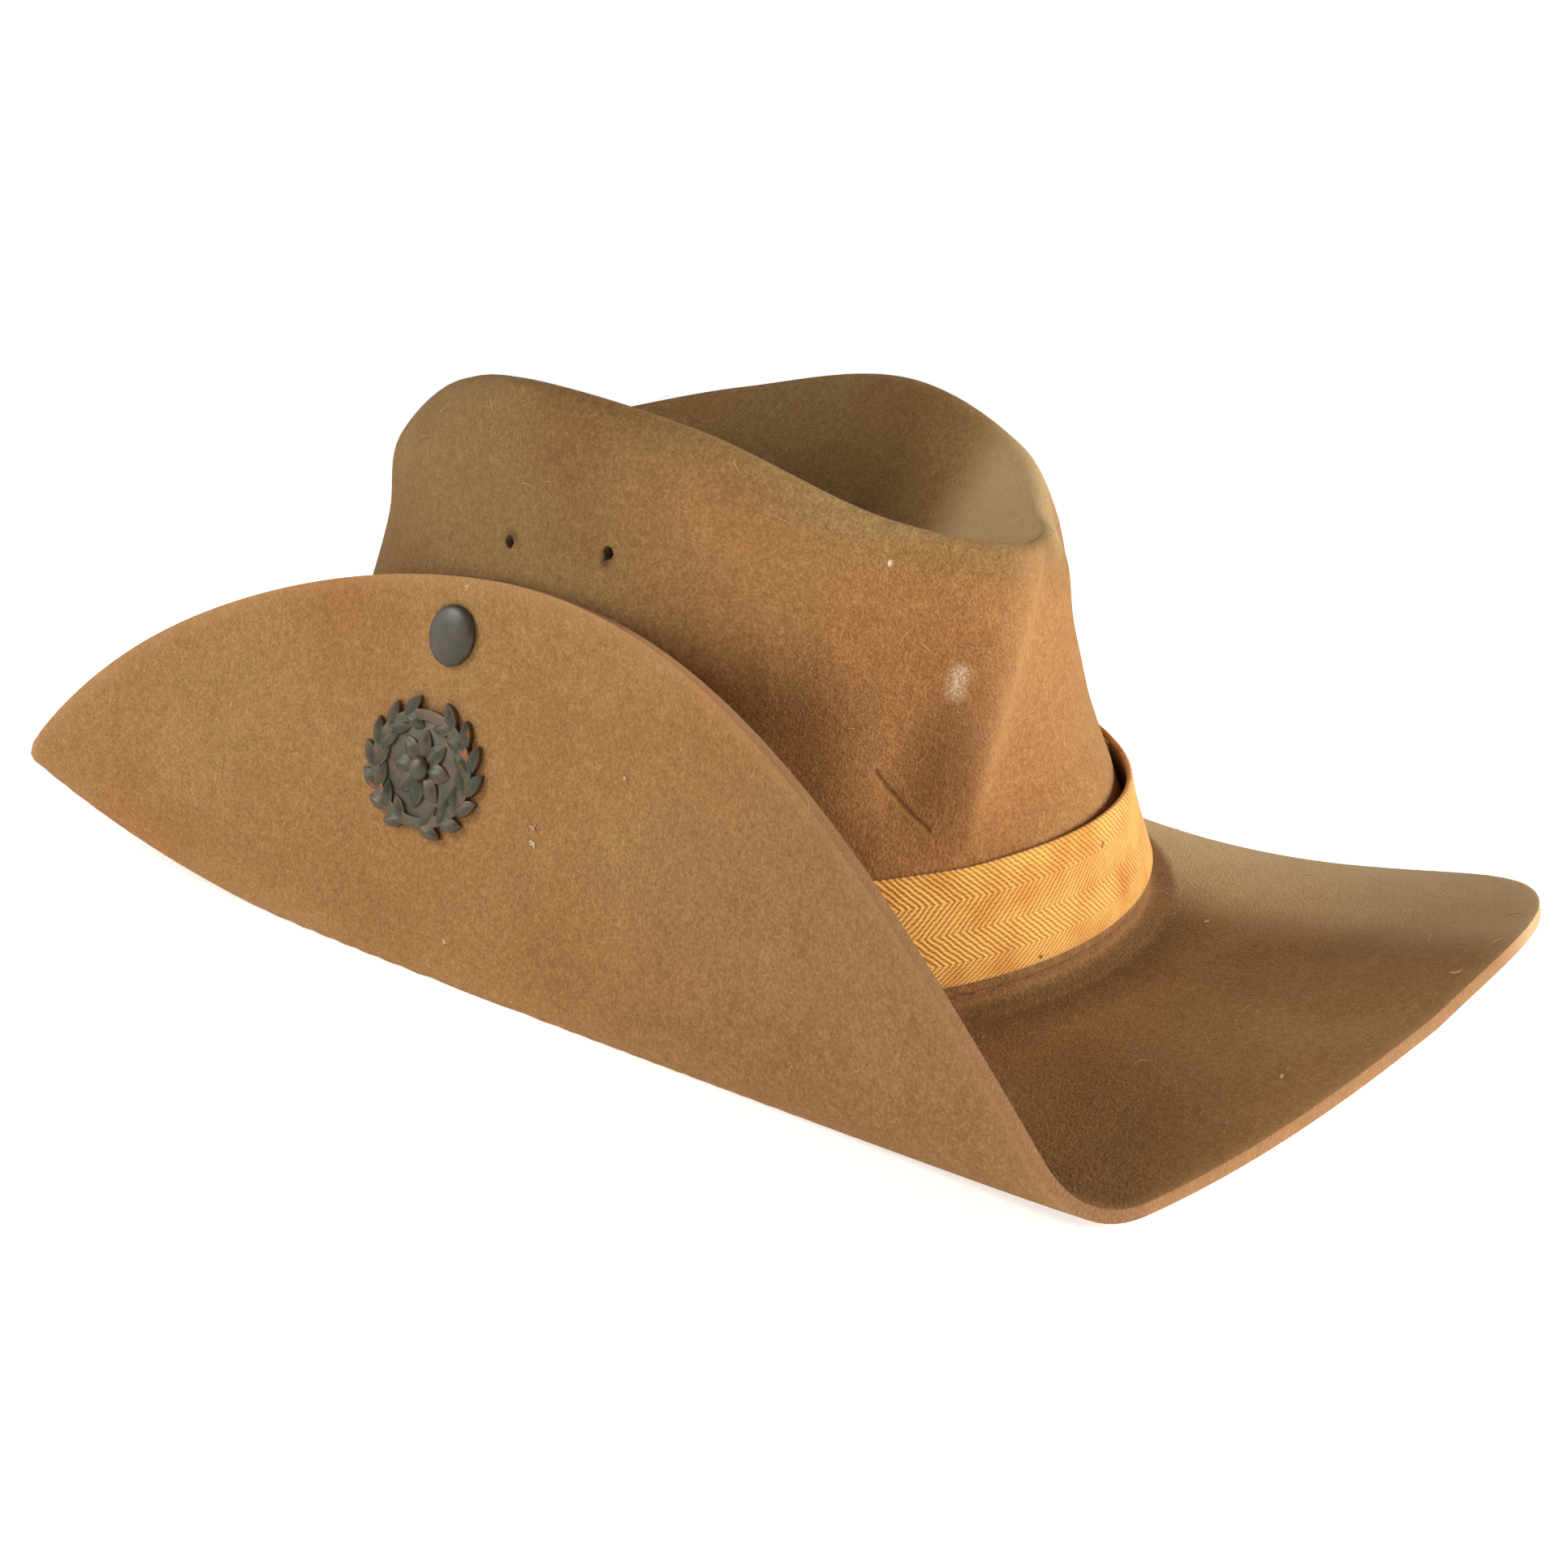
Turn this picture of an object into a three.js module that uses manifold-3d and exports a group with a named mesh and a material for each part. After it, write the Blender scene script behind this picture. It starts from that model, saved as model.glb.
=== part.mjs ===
// Slouch hat of pressed felt, one side of its brim turned up and held to the crown by a press stud.
// Millimetres, +Z up. The front, where the crown is pinched, is -Y. The open side of the brim is +X
// and the turned-up side is -X. Bearings go round in degrees: 0 open side, 90 back, 180 turned-up
// side, 270 front. The felt is shaped with its head line level and then leaned over until it rests
// on the fold and on the rim of the open side, as it does on a table.
import * as THREE from 'three';
import { mergeVertices } from 'three/addons/utils/BufferGeometryUtils.js';
import Module from 'manifold-3d';

const wasm = await Module();
wasm.setup();

// Felt
const FELT = 2.6;
const GAP = 0.3;
const PRESSED_FLAT = 4.0;

// Crown, outside the felt at the head line; heights are above the root of the brim
const CROWN_WIDTH = 168;
const CROWN_LENGTH = 202;
const CROWN_HEIGHT = 129;
const CREASE_FRONT = 50;
const CREASE_BACK = 56;

// Brim widths, and how far its edge drops or rises from the root
const BRIM_OPEN_SIDE = 86;
const BRIM_TURNED_UP = 98;
const BRIM_FRONT = 83;
const BRIM_BACK = 83;
const OPEN_SIDE_DROP = 51;
const OPEN_SIDE_TWIST = 17;
const OPEN_SIDE_BEND = 0.4;
const FRONT_RISE = 8;
const BACK_RISE = 25;
const ROOT_FILLET = 7;

// Band
const BAND_WIDTH = 25;
const BAND_LIFT = 8;
const BAND_THICK = 1.5;
const BAND_GAP = 0.5;
const STAND_OFF = 2.5;
const STAND_OFF_BEARING = 290;
const STAND_OFF_SPREAD = 20;

// Vents, press stud and badge; distances on the turned-up brim are from its edge and along it
const VENT_BORE = 3;
const VENT_HEIGHT = 98;
const VENT_BEARINGS = [179, 197];
const STUD_DIAMETER = 13.5;
const STUD_DOME = 2.6;
const STUD_FROM_EDGE = 11.5;
const STUD_ALONG = 13;
const FLAP_GAP = 0.8;
const POST_DIAMETER = 3.5;
const POST_FLANGE = 9;
const POST_FLANGE_THICK = 1;
const POST_CLEARANCE = 0.4;
const BADGE_WIDTH = 36;
const BADGE_HEIGHT = 30;
const BADGE_THICK = 1.4;
const BADGE_RELIEF = 1.1;
const BADGE_FROM_EDGE = 41;
const BADGE_ALONG = 14.5;
const BADGE_GAP = 0.6;
const LUG_DIAMETER = 2;
const LUG_END = 1;
const LUG_CLEARANCE = 0.4;

// Steps round the hat, a multiple of four so that both ends of the crease lie on one
const STEPS_ROUND = 80;
const BRIM_RINGS = 11;

// Crown round the bearings. rim: height of the rim, share of CROWN_HEIGHT. reach: how far out the rim
// lies between the crease and the head line. shoulder, wall and band: the same at 0.8 and 0.5 of the
// rim and at the top of the band.
const CROWN = [
  { bearing: 0, rim: 0.83, reach: 0.75, shoulder: 0.86, wall: 0.92, band: 0.94 },
  { bearing: 30, rim: 0.78, reach: 0.74, shoulder: 0.87, wall: 0.93, band: 0.96 },
  { bearing: 60, rim: 0.73, reach: 0.72, shoulder: 0.86, wall: 0.94, band: 0.97 },
  { bearing: 90, rim: 0.735, reach: 0.64, shoulder: 0.81, wall: 0.93, band: 0.97 },
  { bearing: 120, rim: 0.83, reach: 0.55, shoulder: 0.79, wall: 0.96, band: 0.98 },
  { bearing: 150, rim: 0.94, reach: 0.57, shoulder: 0.77, wall: 0.93, band: 0.98 },
  { bearing: 180, rim: 1.0, reach: 0.68, shoulder: 0.76, wall: 0.855, band: 0.96 },
  { bearing: 210, rim: 0.96, reach: 0.75, shoulder: 0.82, wall: 0.90, band: 0.95 },
  { bearing: 240, rim: 0.82, reach: 0.81, shoulder: 0.87, wall: 0.91, band: 0.945 },
  { bearing: 270, rim: 0.745, reach: 0.865, shoulder: 0.92, wall: 0.945, band: 0.945 },
  { bearing: 300, rim: 0.72, reach: 0.67, shoulder: 0.76, wall: 0.83, band: 0.865 },
  { bearing: 330, rim: 0.77, reach: 0.73, shoulder: 0.8, wall: 0.86, band: 0.87 },
];

// Floor of the crease from its front end (-1) to its back end (1), share of CROWN_HEIGHT
const CREASE = [
  { along: -1, floor: 0.58 },
  { along: 0, floor: 0.52 },
  { along: 1, floor: 0.58 },
];

// Dents pressed into the crown. bearing and spread: degrees. slant: how far the dent's line turns with
// height, degrees. height and tall: shares of CROWN_HEIGHT. depth: share of CROWN_WIDTH.
const DENTS = [
  { bearing: 233, spread: 14, slant: 28, height: 0.44, tall: 0.26, depth: 0.035 },
  { bearing: 243, spread: 8, slant: 32, height: 0.40, tall: 0.17, depth: 0.030 },
];

// Ridge of the front pinch, and the facet pressed in beside it. Its bearing is the one at RIDGE_HEIGHT,
// share of CROWN_HEIGHT, and turns with the height by RIDGE_SLANT degrees.
const RIDGE_BEARING = 252.3;
const RIDGE_HEIGHT = 0.4;
const RIDGE_SLANT = 32;
const FACET_SPREAD = 16;
const FACET_DEPTH = 7;

// Fold of the turned-up side, from its front end (-1) to its back end (1). line: where it starts,
// share of half CROWN_WIDTH. radius: share of FOLD_RADIUS. open: degrees less than at the middle, where
// it is turned up until it lies against the crown at the stud.
const FOLD_RADIUS = 10;
const FOLD_REACH = 165;
const FOLD = [
  { along: -1, line: 0.89, radius: 1.5, open: 24.5 },
  { along: 0, line: 0.99, radius: 1.1, open: 0 },
  { along: 1, line: 1.10, radius: 1.2, open: 11.5 },
];

// Edge of the brim. reach: its width, share of the width named for that side. rise: how far the edge
// is waved up, share of BRIM_FRONT.
const EDGE = [
  { bearing: 0, reach: 1.01, rise: -0.02 },
  { bearing: 30, reach: 1.0, rise: -0.02 },
  { bearing: 60, reach: 1.0, rise: 0 },
  { bearing: 90, reach: 1.0, rise: 0.03 },
  { bearing: 120, reach: 0.93, rise: 0.08 },
  { bearing: 150, reach: 1.0, rise: 0.02 },
  { bearing: 180, reach: 1.01, rise: 0 },
  { bearing: 210, reach: 1.01, rise: -0.06 },
  { bearing: 240, reach: 1.0, rise: -0.045 },
  { bearing: 270, reach: 0.99, rise: 0.1 },
  { bearing: 300, reach: 1.04, rise: 0.05 },
  { bearing: 330, reach: 1.03, rise: -0.015 },
];

const FELT_MATERIAL = new THREE.MeshStandardMaterial({ color: 0x96703f, roughness: 0.95, metalness: 0 });
const BAND_MATERIAL = new THREE.MeshStandardMaterial({ color: 0xc08a3c, roughness: 0.85, metalness: 0 });
const STUD_MATERIAL = new THREE.MeshStandardMaterial({ color: 0x4f4a3c, roughness: 0.45, metalness: 0.4 });
const POST_MATERIAL = new THREE.MeshStandardMaterial({ color: 0xa8894a, roughness: 0.4, metalness: 1 });
const BADGE_MATERIAL = new THREE.MeshStandardMaterial({ color: 0x3f362e, roughness: 0.45, metalness: 0.9 });

const radians = THREE.MathUtils.degToRad;
const mix = THREE.MathUtils.lerp;

// A column of a table that goes round the hat in equal steps, as a smooth closed curve
function around(rows, column, bearing) {
  const place = THREE.MathUtils.euclideanModulo(bearing, 360) * rows.length / 360;
  const first = Math.floor(place);
  const f = place - first;
  const [a, b, c, d] = [-1, 0, 1, 2].map((k) => rows[(first + k + rows.length) % rows.length][column]);
  return 0.5 * (2 * b + (c - a) * f + (2 * a - 5 * b + 4 * c - d) * f ** 2 + (3 * b - a - 3 * c + d) * f ** 3);
}

// A column of a table of three rows at -1, 0 and 1, as a smooth curve
function along(rows, column, place) {
  const [front, middle, back] = rows.map((row) => row[column]);
  return middle + (back - front) / 2 * place + ((back + front) / 2 - middle) * place ** 2;
}

// Middle of the felt at the head line
function headLine(bearing) {
  const x = (CROWN_WIDTH - FELT) / 2 * Math.cos(radians(bearing));
  const y = (CROWN_LENGTH - FELT) / 2 * Math.sin(radians(bearing));
  return new THREE.Vector2(x, y);
}

// Edge of the brim before its side is turned up, seen from above
function brimEdge(bearing) {
  const c = Math.cos(radians(bearing));
  const s = Math.sin(radians(bearing));
  const side = CROWN_WIDTH / 2 + (c > 0 ? BRIM_OPEN_SIDE : BRIM_TURNED_UP);
  const end = CROWN_LENGTH / 2 + (s > 0 ? BRIM_BACK : BRIM_FRONT);
  const full = new THREE.Vector2(side * c, end * s);
  return headLine(bearing).lerp(full, around(EDGE, 'reach', bearing));
}

// Degrees that the middle of the side is turned up by: a first value, then worked out at the stud
let foldAngle = 110;

// Turns up what lies beyond the fold line, round a roll that runs from front to back
function turnUp(flat) {
  const place = THREE.MathUtils.clamp(flat.y / FOLD_REACH, -1.1, 1.1);
  const line = -along(FOLD, 'line', place) * CROWN_WIDTH / 2;
  const radius = along(FOLD, 'radius', place) * FOLD_RADIUS;
  const angle = radians(foldAngle - along(FOLD, 'open', place));
  const past = line - flat.x;
  if (past <= 0) return flat;
  const turned = Math.min(past / radius, angle);
  const straight = Math.max(past - radius * angle, 0);
  const x = line - radius * Math.sin(turned) - straight * Math.cos(angle);
  const z = flat.z + radius * (1 - Math.cos(turned)) + straight * Math.sin(angle);
  return new THREE.Vector3(x, flat.y, z);
}

// Height of the flat brim: the open side drops, the front and the back rise
function brimHeight(bearing, share, y) {
  const c = Math.max(Math.cos(radians(bearing)), 0);
  const s = Math.sin(radians(bearing));
  const end = CROWN_LENGTH / 2 + (y > 0 ? BRIM_BACK : BRIM_FRONT);
  const ends = (y > 0 ? BACK_RISE : FRONT_RISE) * (y / end) ** 2;
  const side = OPEN_SIDE_DROP * c ** 2 + OPEN_SIDE_TWIST * c * s;
  const wave = around(EDGE, 'rise', bearing) * BRIM_FRONT;
  const drop = share + OPEN_SIDE_BEND * share * (1 - share);
  return ends - side * drop + wave * share ** 2;
}

// Middle of the felt on the brim, from the end of the root fillet (0) to the edge (1)
function brimPoint(bearing, share) {
  const root = headLine(bearing);
  const edge = brimEdge(bearing);
  const start = ROOT_FILLET / root.distanceTo(edge);
  const flat = root.clone().lerp(edge, mix(start, 1, share));
  return turnUp(new THREE.Vector3(flat.x, flat.y, brimHeight(bearing, share, flat.y)));
}

// Section of the crown at one bearing, from the crease over the rim and down into the brim
function crownSection(bearing) {
  const root = headLine(bearing);
  const s = Math.sin(radians(bearing));
  const crease = new THREE.Vector2(0, (s > 0 ? CREASE_BACK : CREASE_FRONT) * s);
  const value = (column) => around(CROWN, column, bearing);
  const floor = along(CREASE, 'floor', s) * CROWN_HEIGHT;
  const rim = value('rim') * CROWN_HEIGHT;
  const foot = brimHeight(bearing, 0, root.y);
  const bandFoot = foot + BAND_LIFT;
  const outward = brimEdge(bearing).sub(root).normalize();
  const point = (reach, height) => {
    const p = crease.clone().lerp(root, reach);
    return new THREE.Vector3(p.x, p.y, height);
  };
  const reach = value('reach');
  const fillet = root.clone().addScaledVector(outward, 0.25 * ROOT_FILLET);
  return [
    point(0, floor),
    point(0.40 * reach, mix(floor, rim, 0.10)),
    point(0.76 * reach, mix(floor, rim, 0.70)),
    point(reach, rim),
    point(mix(reach, value('shoulder'), 0.75), 0.93 * rim),
    point(value('shoulder'), 0.78 * rim),
    point(value('wall'), 0.50 * rim),
    point(value('band'), bandFoot + BAND_WIDTH),
    point(1, bandFoot),
    new THREE.Vector3(fillet.x, fillet.y, foot + 0.3 * ROOT_FILLET),
    brimPoint(bearing, 0),
  ];
}
const SECTION_END = 10;
const RIM_PLACE = 3;
const BAND_PLACES = [7, 8];

// Degrees past a line that turns with the height of a point on the crown
function turnPast(p, bearing, line, slant, height) {
  const at = line + slant * (p.z / CROWN_HEIGHT - height);
  return THREE.MathUtils.euclideanModulo(bearing - at + 180, 360) - 180;
}

// Pushes a point of the crown in where a dent or the facet is
function dent(p, bearing, place) {
  let depth = 0;
  for (const d of DENTS) {
    const turn = turnPast(p, bearing, d.bearing, d.slant, d.height) / d.spread;
    const rise = (p.z / CROWN_HEIGHT - d.height) / d.tall;
    depth += d.depth * CROWN_WIDTH * Math.exp(-(turn ** 2) - rise ** 2);
  }
  depth *= THREE.MathUtils.smoothstep(place, RIM_PLACE - 0.4, RIM_PLACE + 1);
  const past = Math.max(turnPast(p, bearing, RIDGE_BEARING, RIDGE_SLANT, RIDGE_HEIGHT) / FACET_SPREAD, 0);
  depth += FACET_DEPTH * past * Math.exp(1 - past) * THREE.MathUtils.smoothstep(place, 1.8, RIM_PLACE + 0.2);
  const overBand = THREE.MathUtils.smoothstep(p.z, BAND_LIFT + BAND_WIDTH, 2 * BAND_WIDTH);
  const share = 1 - depth * overBand / Math.max(Math.hypot(p.x, p.y), FELT);
  return new THREE.Vector3(p.x * share, p.y * share, p.z);
}

function crownPoint(bearing, place) {
  const curve = new THREE.CatmullRomCurve3(crownSection(bearing), false, 'centripetal');
  return dent(curve.getPoint(place / SECTION_END), bearing, place);
}

// Place on the turned-up brim: x runs along it to the back, y up to its edge, z out of the felt
function flapFrame(fromEdge, alongFlap) {
  const end = CROWN_LENGTH / 2 + (alongFlap > 0 ? BRIM_BACK : BRIM_FRONT);
  const side = CROWN_WIDTH / 2 + BRIM_TURNED_UP;
  const edge = -side * Math.sqrt(1 - (alongFlap / end) ** 2);
  const onFlap = (x, y) => turnUp(new THREE.Vector3(x, y, brimHeight(180, 0, y)));
  const at = onFlap(edge + fromEdge, alongFlap);
  const up = onFlap(edge + fromEdge - 1, alongFlap).sub(at).normalize();
  const back = onFlap(edge + fromEdge, alongFlap + 1).sub(at).normalize();
  const out = new THREE.Vector3().crossVectors(up, back).normalize();
  const toBack = new THREE.Vector3().crossVectors(up, out);
  return new THREE.Matrix4().makeBasis(toBack, up, out).setPosition(at);
}

// Depths from the middle of the turned-up brim to the middle of the crown's felt behind the stud
function crownDepths() {
  const inward = flapFrame(STUD_FROM_EDGE, STUD_ALONG).invert();
  const depths = [];
  for (let bearing = 150; bearing <= 210; bearing += 2) {
    for (let place = RIM_PLACE; place <= BAND_PLACES[0]; place += 0.1) {
      const p = crownPoint(bearing, place).applyMatrix4(inward);
      if (Math.hypot(p.x, p.y) < POST_FLANGE / 2) depths.push(-p.z);
    }
  }
  return depths;
}

// The side is turned up until it nearly touches the crown at the stud
for (let turn = 0; turn < 6; turn += 1) {
  const opening = Math.min(...crownDepths()) - FELT - FLAP_GAP;
  foldAngle += THREE.MathUtils.radToDeg(opening / (BRIM_TURNED_UP - STUD_FROM_EDGE));
}
const studFrame = flapFrame(STUD_FROM_EDGE, STUD_ALONG);

// Shares of the brim at which its rings lie, closer together where the fold crosses this bearing
function brimShares(bearing) {
  const root = headLine(bearing);
  const edge = brimEdge(bearing);
  const span = root.x - edge.x;
  const place = mix(root.y, edge.y, 0.5) / FOLD_REACH;
  const line = -along(FOLD, 'line', place) * CROWN_WIDTH / 2;
  const roll = along(FOLD, 'radius', place) * FOLD_RADIUS * Math.PI / 2;
  const middle = span > 0 ? (root.x - line + roll / 2) / span : 2;
  const width = span > 0 ? Math.max(roll / span, 0.08) : 1;
  const density = (b) => 1 + 3 * Math.exp(-(((b - middle) / width) ** 2));
  const samples = 60;
  const sums = [0];
  for (let i = 0; i < samples; i += 1) sums.push(sums[i] + density((i + 0.5) / samples));
  const shares = [];
  let k = 0;
  for (let j = 1; j <= BRIM_RINGS; j += 1) {
    const target = sums[samples] * j / BRIM_RINGS;
    while (k < samples - 1 && sums[k + 1] < target) k += 1;
    shares.push(Math.min((k + (target - sums[k]) / (sums[k + 1] - sums[k])) / samples, 1));
  }
  return shares;
}

// The middle surface of the felt as rings of points, from the crease out to the brim's edge
const CROWN_PLACES = [0, 0.6, 1.2, 1.7, 2.2, 2.6, 3, 3.4, 4, 4.7, 5.4, 6, 6.5, 7, 8, 9, 10];
const bearings = Array.from({ length: STEPS_ROUND }, (_, i) => i * 360 / STEPS_ROUND);
const columns = bearings.map((bearing) => [
  ...CROWN_PLACES.map((place) => crownPoint(bearing, place)),
  ...brimShares(bearing).map((share) => brimPoint(bearing, share)),
]);
const RINGS = columns[0].length;

// Lean that brings the rim of the open side down to the level of the fold, and the direction that is
// then up
const restSpan = CROWN_WIDTH + BRIM_OPEN_SIDE;
let leanAngle = Math.atan2(OPEN_SIDE_DROP, restSpan);
const upward = () => new THREE.Vector3(Math.sin(leanAngle), 0, Math.cos(leanAngle));
const lowestOf = (points) => Math.min(...points.map((p) => p.dot(upward())));
const foldSide = columns.flat().filter((p) => p.x < 0);
const rimSide = columns.flat().filter((p) => p.x >= 0);
for (let turn = 0; turn < 6; turn += 1) {
  leanAngle += (lowestOf(foldSide) - lowestOf(rimSide)) / restSpan;
}
const UP = upward();
const tableLevel = lowestOf(columns.flat()) - FELT / 2 + PRESSED_FLAT;

// Moves a point up to a level if it lies below
function pressUp(p, level) {
  return p.clone().addScaledVector(UP, Math.max(level - p.dot(UP), 0));
}

// Geometry from points and triangles of indices
function geometryOf(points, triangles) {
  const geometry = new THREE.BufferGeometry();
  const flat = points.flatMap((p) => [p.x, p.y, p.z]);
  geometry.setAttribute('position', new THREE.Float32BufferAttribute(flat, 3));
  geometry.setIndex(triangles);
  return geometry;
}

// Quads between neighbouring rings of a closed round grid, each cut along its shorter diagonal
function ringTriangles(points, index, rings, steps) {
  const triangles = [];
  for (let r = 0; r < rings - 1; r += 1) {
    for (let i = 0; i < steps; i += 1) {
      const [a, b, c, d] = [index(i, r), index(i + 1, r), index(i + 1, r + 1), index(i, r + 1)];
      const short = points[a].distanceTo(points[c]) < points[b].distanceTo(points[d]);
      if (short) triangles.push(a, c, b, a, d, c);
      else triangles.push(a, d, b, b, d, c);
    }
  }
  return triangles;
}

// Felt wall: both faces lie half the felt away from the middle surface, joined at the edge. The two
// halves of the crease meet point for point, so merging them closes it.
function feltWall() {
  const pressedLevel = tableLevel + FELT / 2;
  const points = columns.flat().map((p) => pressUp(p, pressedLevel));
  const index = (i, r) => (i % STEPS_ROUND) * RINGS + r;
  const middle = mergeVertices(geometryOf(points, ringTriangles(points, index, RINGS, STEPS_ROUND)), 1e-3);
  middle.computeVertexNormals();
  const position = middle.attributes.position;
  const normal = middle.attributes.normal;
  const count = position.count;
  const over = [];
  const under = [];
  for (let k = 0; k < count; k += 1) {
    const p = new THREE.Vector3().fromBufferAttribute(position, k);
    const n = new THREE.Vector3().fromBufferAttribute(normal, k);
    over.push(p.clone().addScaledVector(n, FELT / 2));
    const low = p.clone().addScaledVector(n, -FELT / 2);
    const flat = p.dot(UP) < pressedLevel + 1e-4;
    under.push(flat ? low.addScaledVector(UP, tableLevel - low.dot(UP)) : low);
  }
  const faces = Array.from(middle.index.array);
  const triangles = [...faces];
  for (let k = 0; k < faces.length; k += 3) {
    triangles.push(faces[k] + count, faces[k + 2] + count, faces[k + 1] + count);
  }
  for (const [a, b] of openEdges(faces)) {
    triangles.push(b, a, a + count, b, a + count, b + count);
  }
  return geometryOf([...over, ...under], triangles);
}

// Edges that belong to one triangle only, in that triangle's direction
function openEdges(faces) {
  const seen = new Map();
  for (let k = 0; k < faces.length; k += 3) {
    for (let e = 0; e < 3; e += 1) {
      const a = faces[k + e];
      const b = faces[k + (e + 1) % 3];
      if (seen.has(`${b} ${a}`)) seen.delete(`${b} ${a}`);
      else seen.set(`${a} ${b}`, [a, b]);
    }
  }
  return seen.values();
}

// A closed geometry as a solid for cutting and joining, and back
function solidOf(geometry) {
  const bare = geometry.clone();
  bare.deleteAttribute('normal');
  bare.deleteAttribute('uv');
  const merged = mergeVertices(bare, 1e-4);
  const vertProperties = new Float32Array(merged.attributes.position.array);
  const triVerts = new Uint32Array(merged.index.array);
  return new wasm.Manifold(new wasm.Mesh({ numProp: 3, vertProperties, triVerts }));
}

function geometryFrom(solid) {
  const mesh = solid.getMesh();
  const geometry = new THREE.BufferGeometry();
  geometry.setAttribute('position', new THREE.Float32BufferAttribute(mesh.vertProperties, 3));
  geometry.setIndex(Array.from(mesh.triVerts));
  return geometry;
}

function cylinder(radius, from, to, sides) {
  const shape = new THREE.CylinderGeometry(radius, radius, to - from, sides);
  return shape.rotateX(Math.PI / 2).translate(0, 0, (from + to) / 2);
}

// Press stud: a domed cap outside, a plain post through brim and crown with a flange inside
const capSeat = FELT / 2 + GAP;

function studCap() {
  const rim = STUD_DIAMETER / 2;
  const profile = [
    new THREE.Vector2(0, capSeat),
    new THREE.Vector2(0.93 * rim, capSeat),
    new THREE.Vector2(rim, capSeat + 0.25 * STUD_DOME),
    new THREE.Vector2(0.95 * rim, capSeat + 0.45 * STUD_DOME),
    new THREE.Vector2(0.75 * rim, capSeat + 0.74 * STUD_DOME),
    new THREE.Vector2(0.42 * rim, capSeat + 0.93 * STUD_DOME),
    new THREE.Vector2(0, capSeat + STUD_DOME),
  ];
  return new THREE.LatheGeometry(profile, 24).rotateX(Math.PI / 2).applyMatrix4(studFrame);
}

const flangeSeat = -(Math.max(...crownDepths()) + FELT / 2 + GAP);

function studPost() {
  const radius = POST_DIAMETER / 2;
  const profile = [
    new THREE.Vector2(0, flangeSeat - POST_FLANGE_THICK),
    new THREE.Vector2(POST_FLANGE / 2, flangeSeat - POST_FLANGE_THICK),
    new THREE.Vector2(POST_FLANGE / 2, flangeSeat),
    new THREE.Vector2(radius, flangeSeat),
    new THREE.Vector2(radius, capSeat - GAP),
    new THREE.Vector2(0, capSeat - GAP),
  ];
  return new THREE.LatheGeometry(profile, 16).rotateX(Math.PI / 2).applyMatrix4(studFrame);
}

function feltBody() {
  let felt = solidOf(feltWall());
  const cut = (geometry) => {
    felt = felt.subtract(solidOf(geometry));
  };
  const postHole = POST_DIAMETER / 2 + POST_CLEARANCE;
  cut(cylinder(postHole, flangeSeat - FELT, FELT, 16).applyMatrix4(studFrame));
  for (const x of lugPlaces) {
    const lugHole = cylinder(LUG_DIAMETER / 2 + LUG_CLEARANCE, -FELT, FELT, 8).translate(x, 0, 0);
    cut(lugHole.applyMatrix4(badgeFrame));
  }
  for (const bearing of VENT_BEARINGS) {
    const side = headLine(bearing);
    const bore = cylinder(VENT_BORE / 2, 0.5 * side.length(), side.length(), 10);
    bore.rotateY(Math.PI / 2).rotateZ(side.angle()).translate(0, 0, VENT_HEIGHT);
    cut(bore);
  }
  return geometryFrom(felt);
}

// Band: a loop of webbing that follows the crown between the two places of its section. Where the crown
// is pinched in, the band's top edge stands off it.
function hatBand() {
  const inner = [];
  const outer = [];
  for (const bearing of bearings) {
    for (const place of BAND_PLACES) {
      const p = crownPoint(bearing, place);
      const down = crownPoint(bearing, place + 0.05).sub(p);
      const across = crownPoint(bearing + 0.5, place).sub(p);
      const out = down.cross(across).normalize();
      const turn = (bearing - STAND_OFF_BEARING) / STAND_OFF_SPREAD;
      const stand = place === BAND_PLACES[0] ? STAND_OFF * Math.exp(-(turn ** 2)) : 0;
      const face = p.clone().addScaledVector(out, FELT / 2 + BAND_GAP + stand);
      inner.push(face);
      outer.push(face.clone().addScaledVector(out, BAND_THICK));
    }
  }
  const rings = BAND_PLACES.length;
  const index = (i, r) => (i % STEPS_ROUND) * rings + r;
  const faces = ringTriangles(outer, index, rings, STEPS_ROUND);
  const count = outer.length;
  const triangles = [...faces];
  for (let k = 0; k < faces.length; k += 3) {
    triangles.push(faces[k] + count, faces[k + 2] + count, faces[k + 1] + count);
  }
  for (const [a, b] of openEdges(faces)) {
    triangles.push(b, a, a + count, b, a + count, b + count);
  }
  return geometryOf([...outer, ...inner], triangles);
}

// Badge: two sprays of leaves on bent stems round a plain rosette, cast in one piece with the two lugs
// that pass through the brim
const LEAF_PAIRS = 7;
const PETALS = 8;
const badgeFrame = flapFrame(BADGE_FROM_EDGE, BADGE_ALONG);
const badgeSeat = FELT / 2 + BADGE_GAP;
const lugPlaces = [-0.5, 0.5].map((share) => share * BADGE_WIDTH / 2);
const lugReach = 2 * badgeSeat + LUG_END;

// A leaf lies along x with its middle at the origin, and rises to a ridge
function leaf(length, width) {
  const side = 0.55 * BADGE_THICK;
  const outline = [[-length / 2, 0], [0, width / 2], [length / 2, 0], [0, -width / 2]];
  const points = [0, side].flatMap((z) => outline.map(([x, y]) => new THREE.Vector3(x, y, z)));
  points.push(new THREE.Vector3(-0.1 * length, 0, BADGE_THICK + 0.5 * BADGE_RELIEF));
  const triangles = [0, 1, 2, 0, 2, 3];
  for (let k = 0; k < 4; k += 1) {
    const next = (k + 1) % 4;
    triangles.push(k, k + 4, next, next, k + 4, next + 4, k + 4, 8, next + 4);
  }
  return geometryOf(points, triangles);
}

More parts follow.
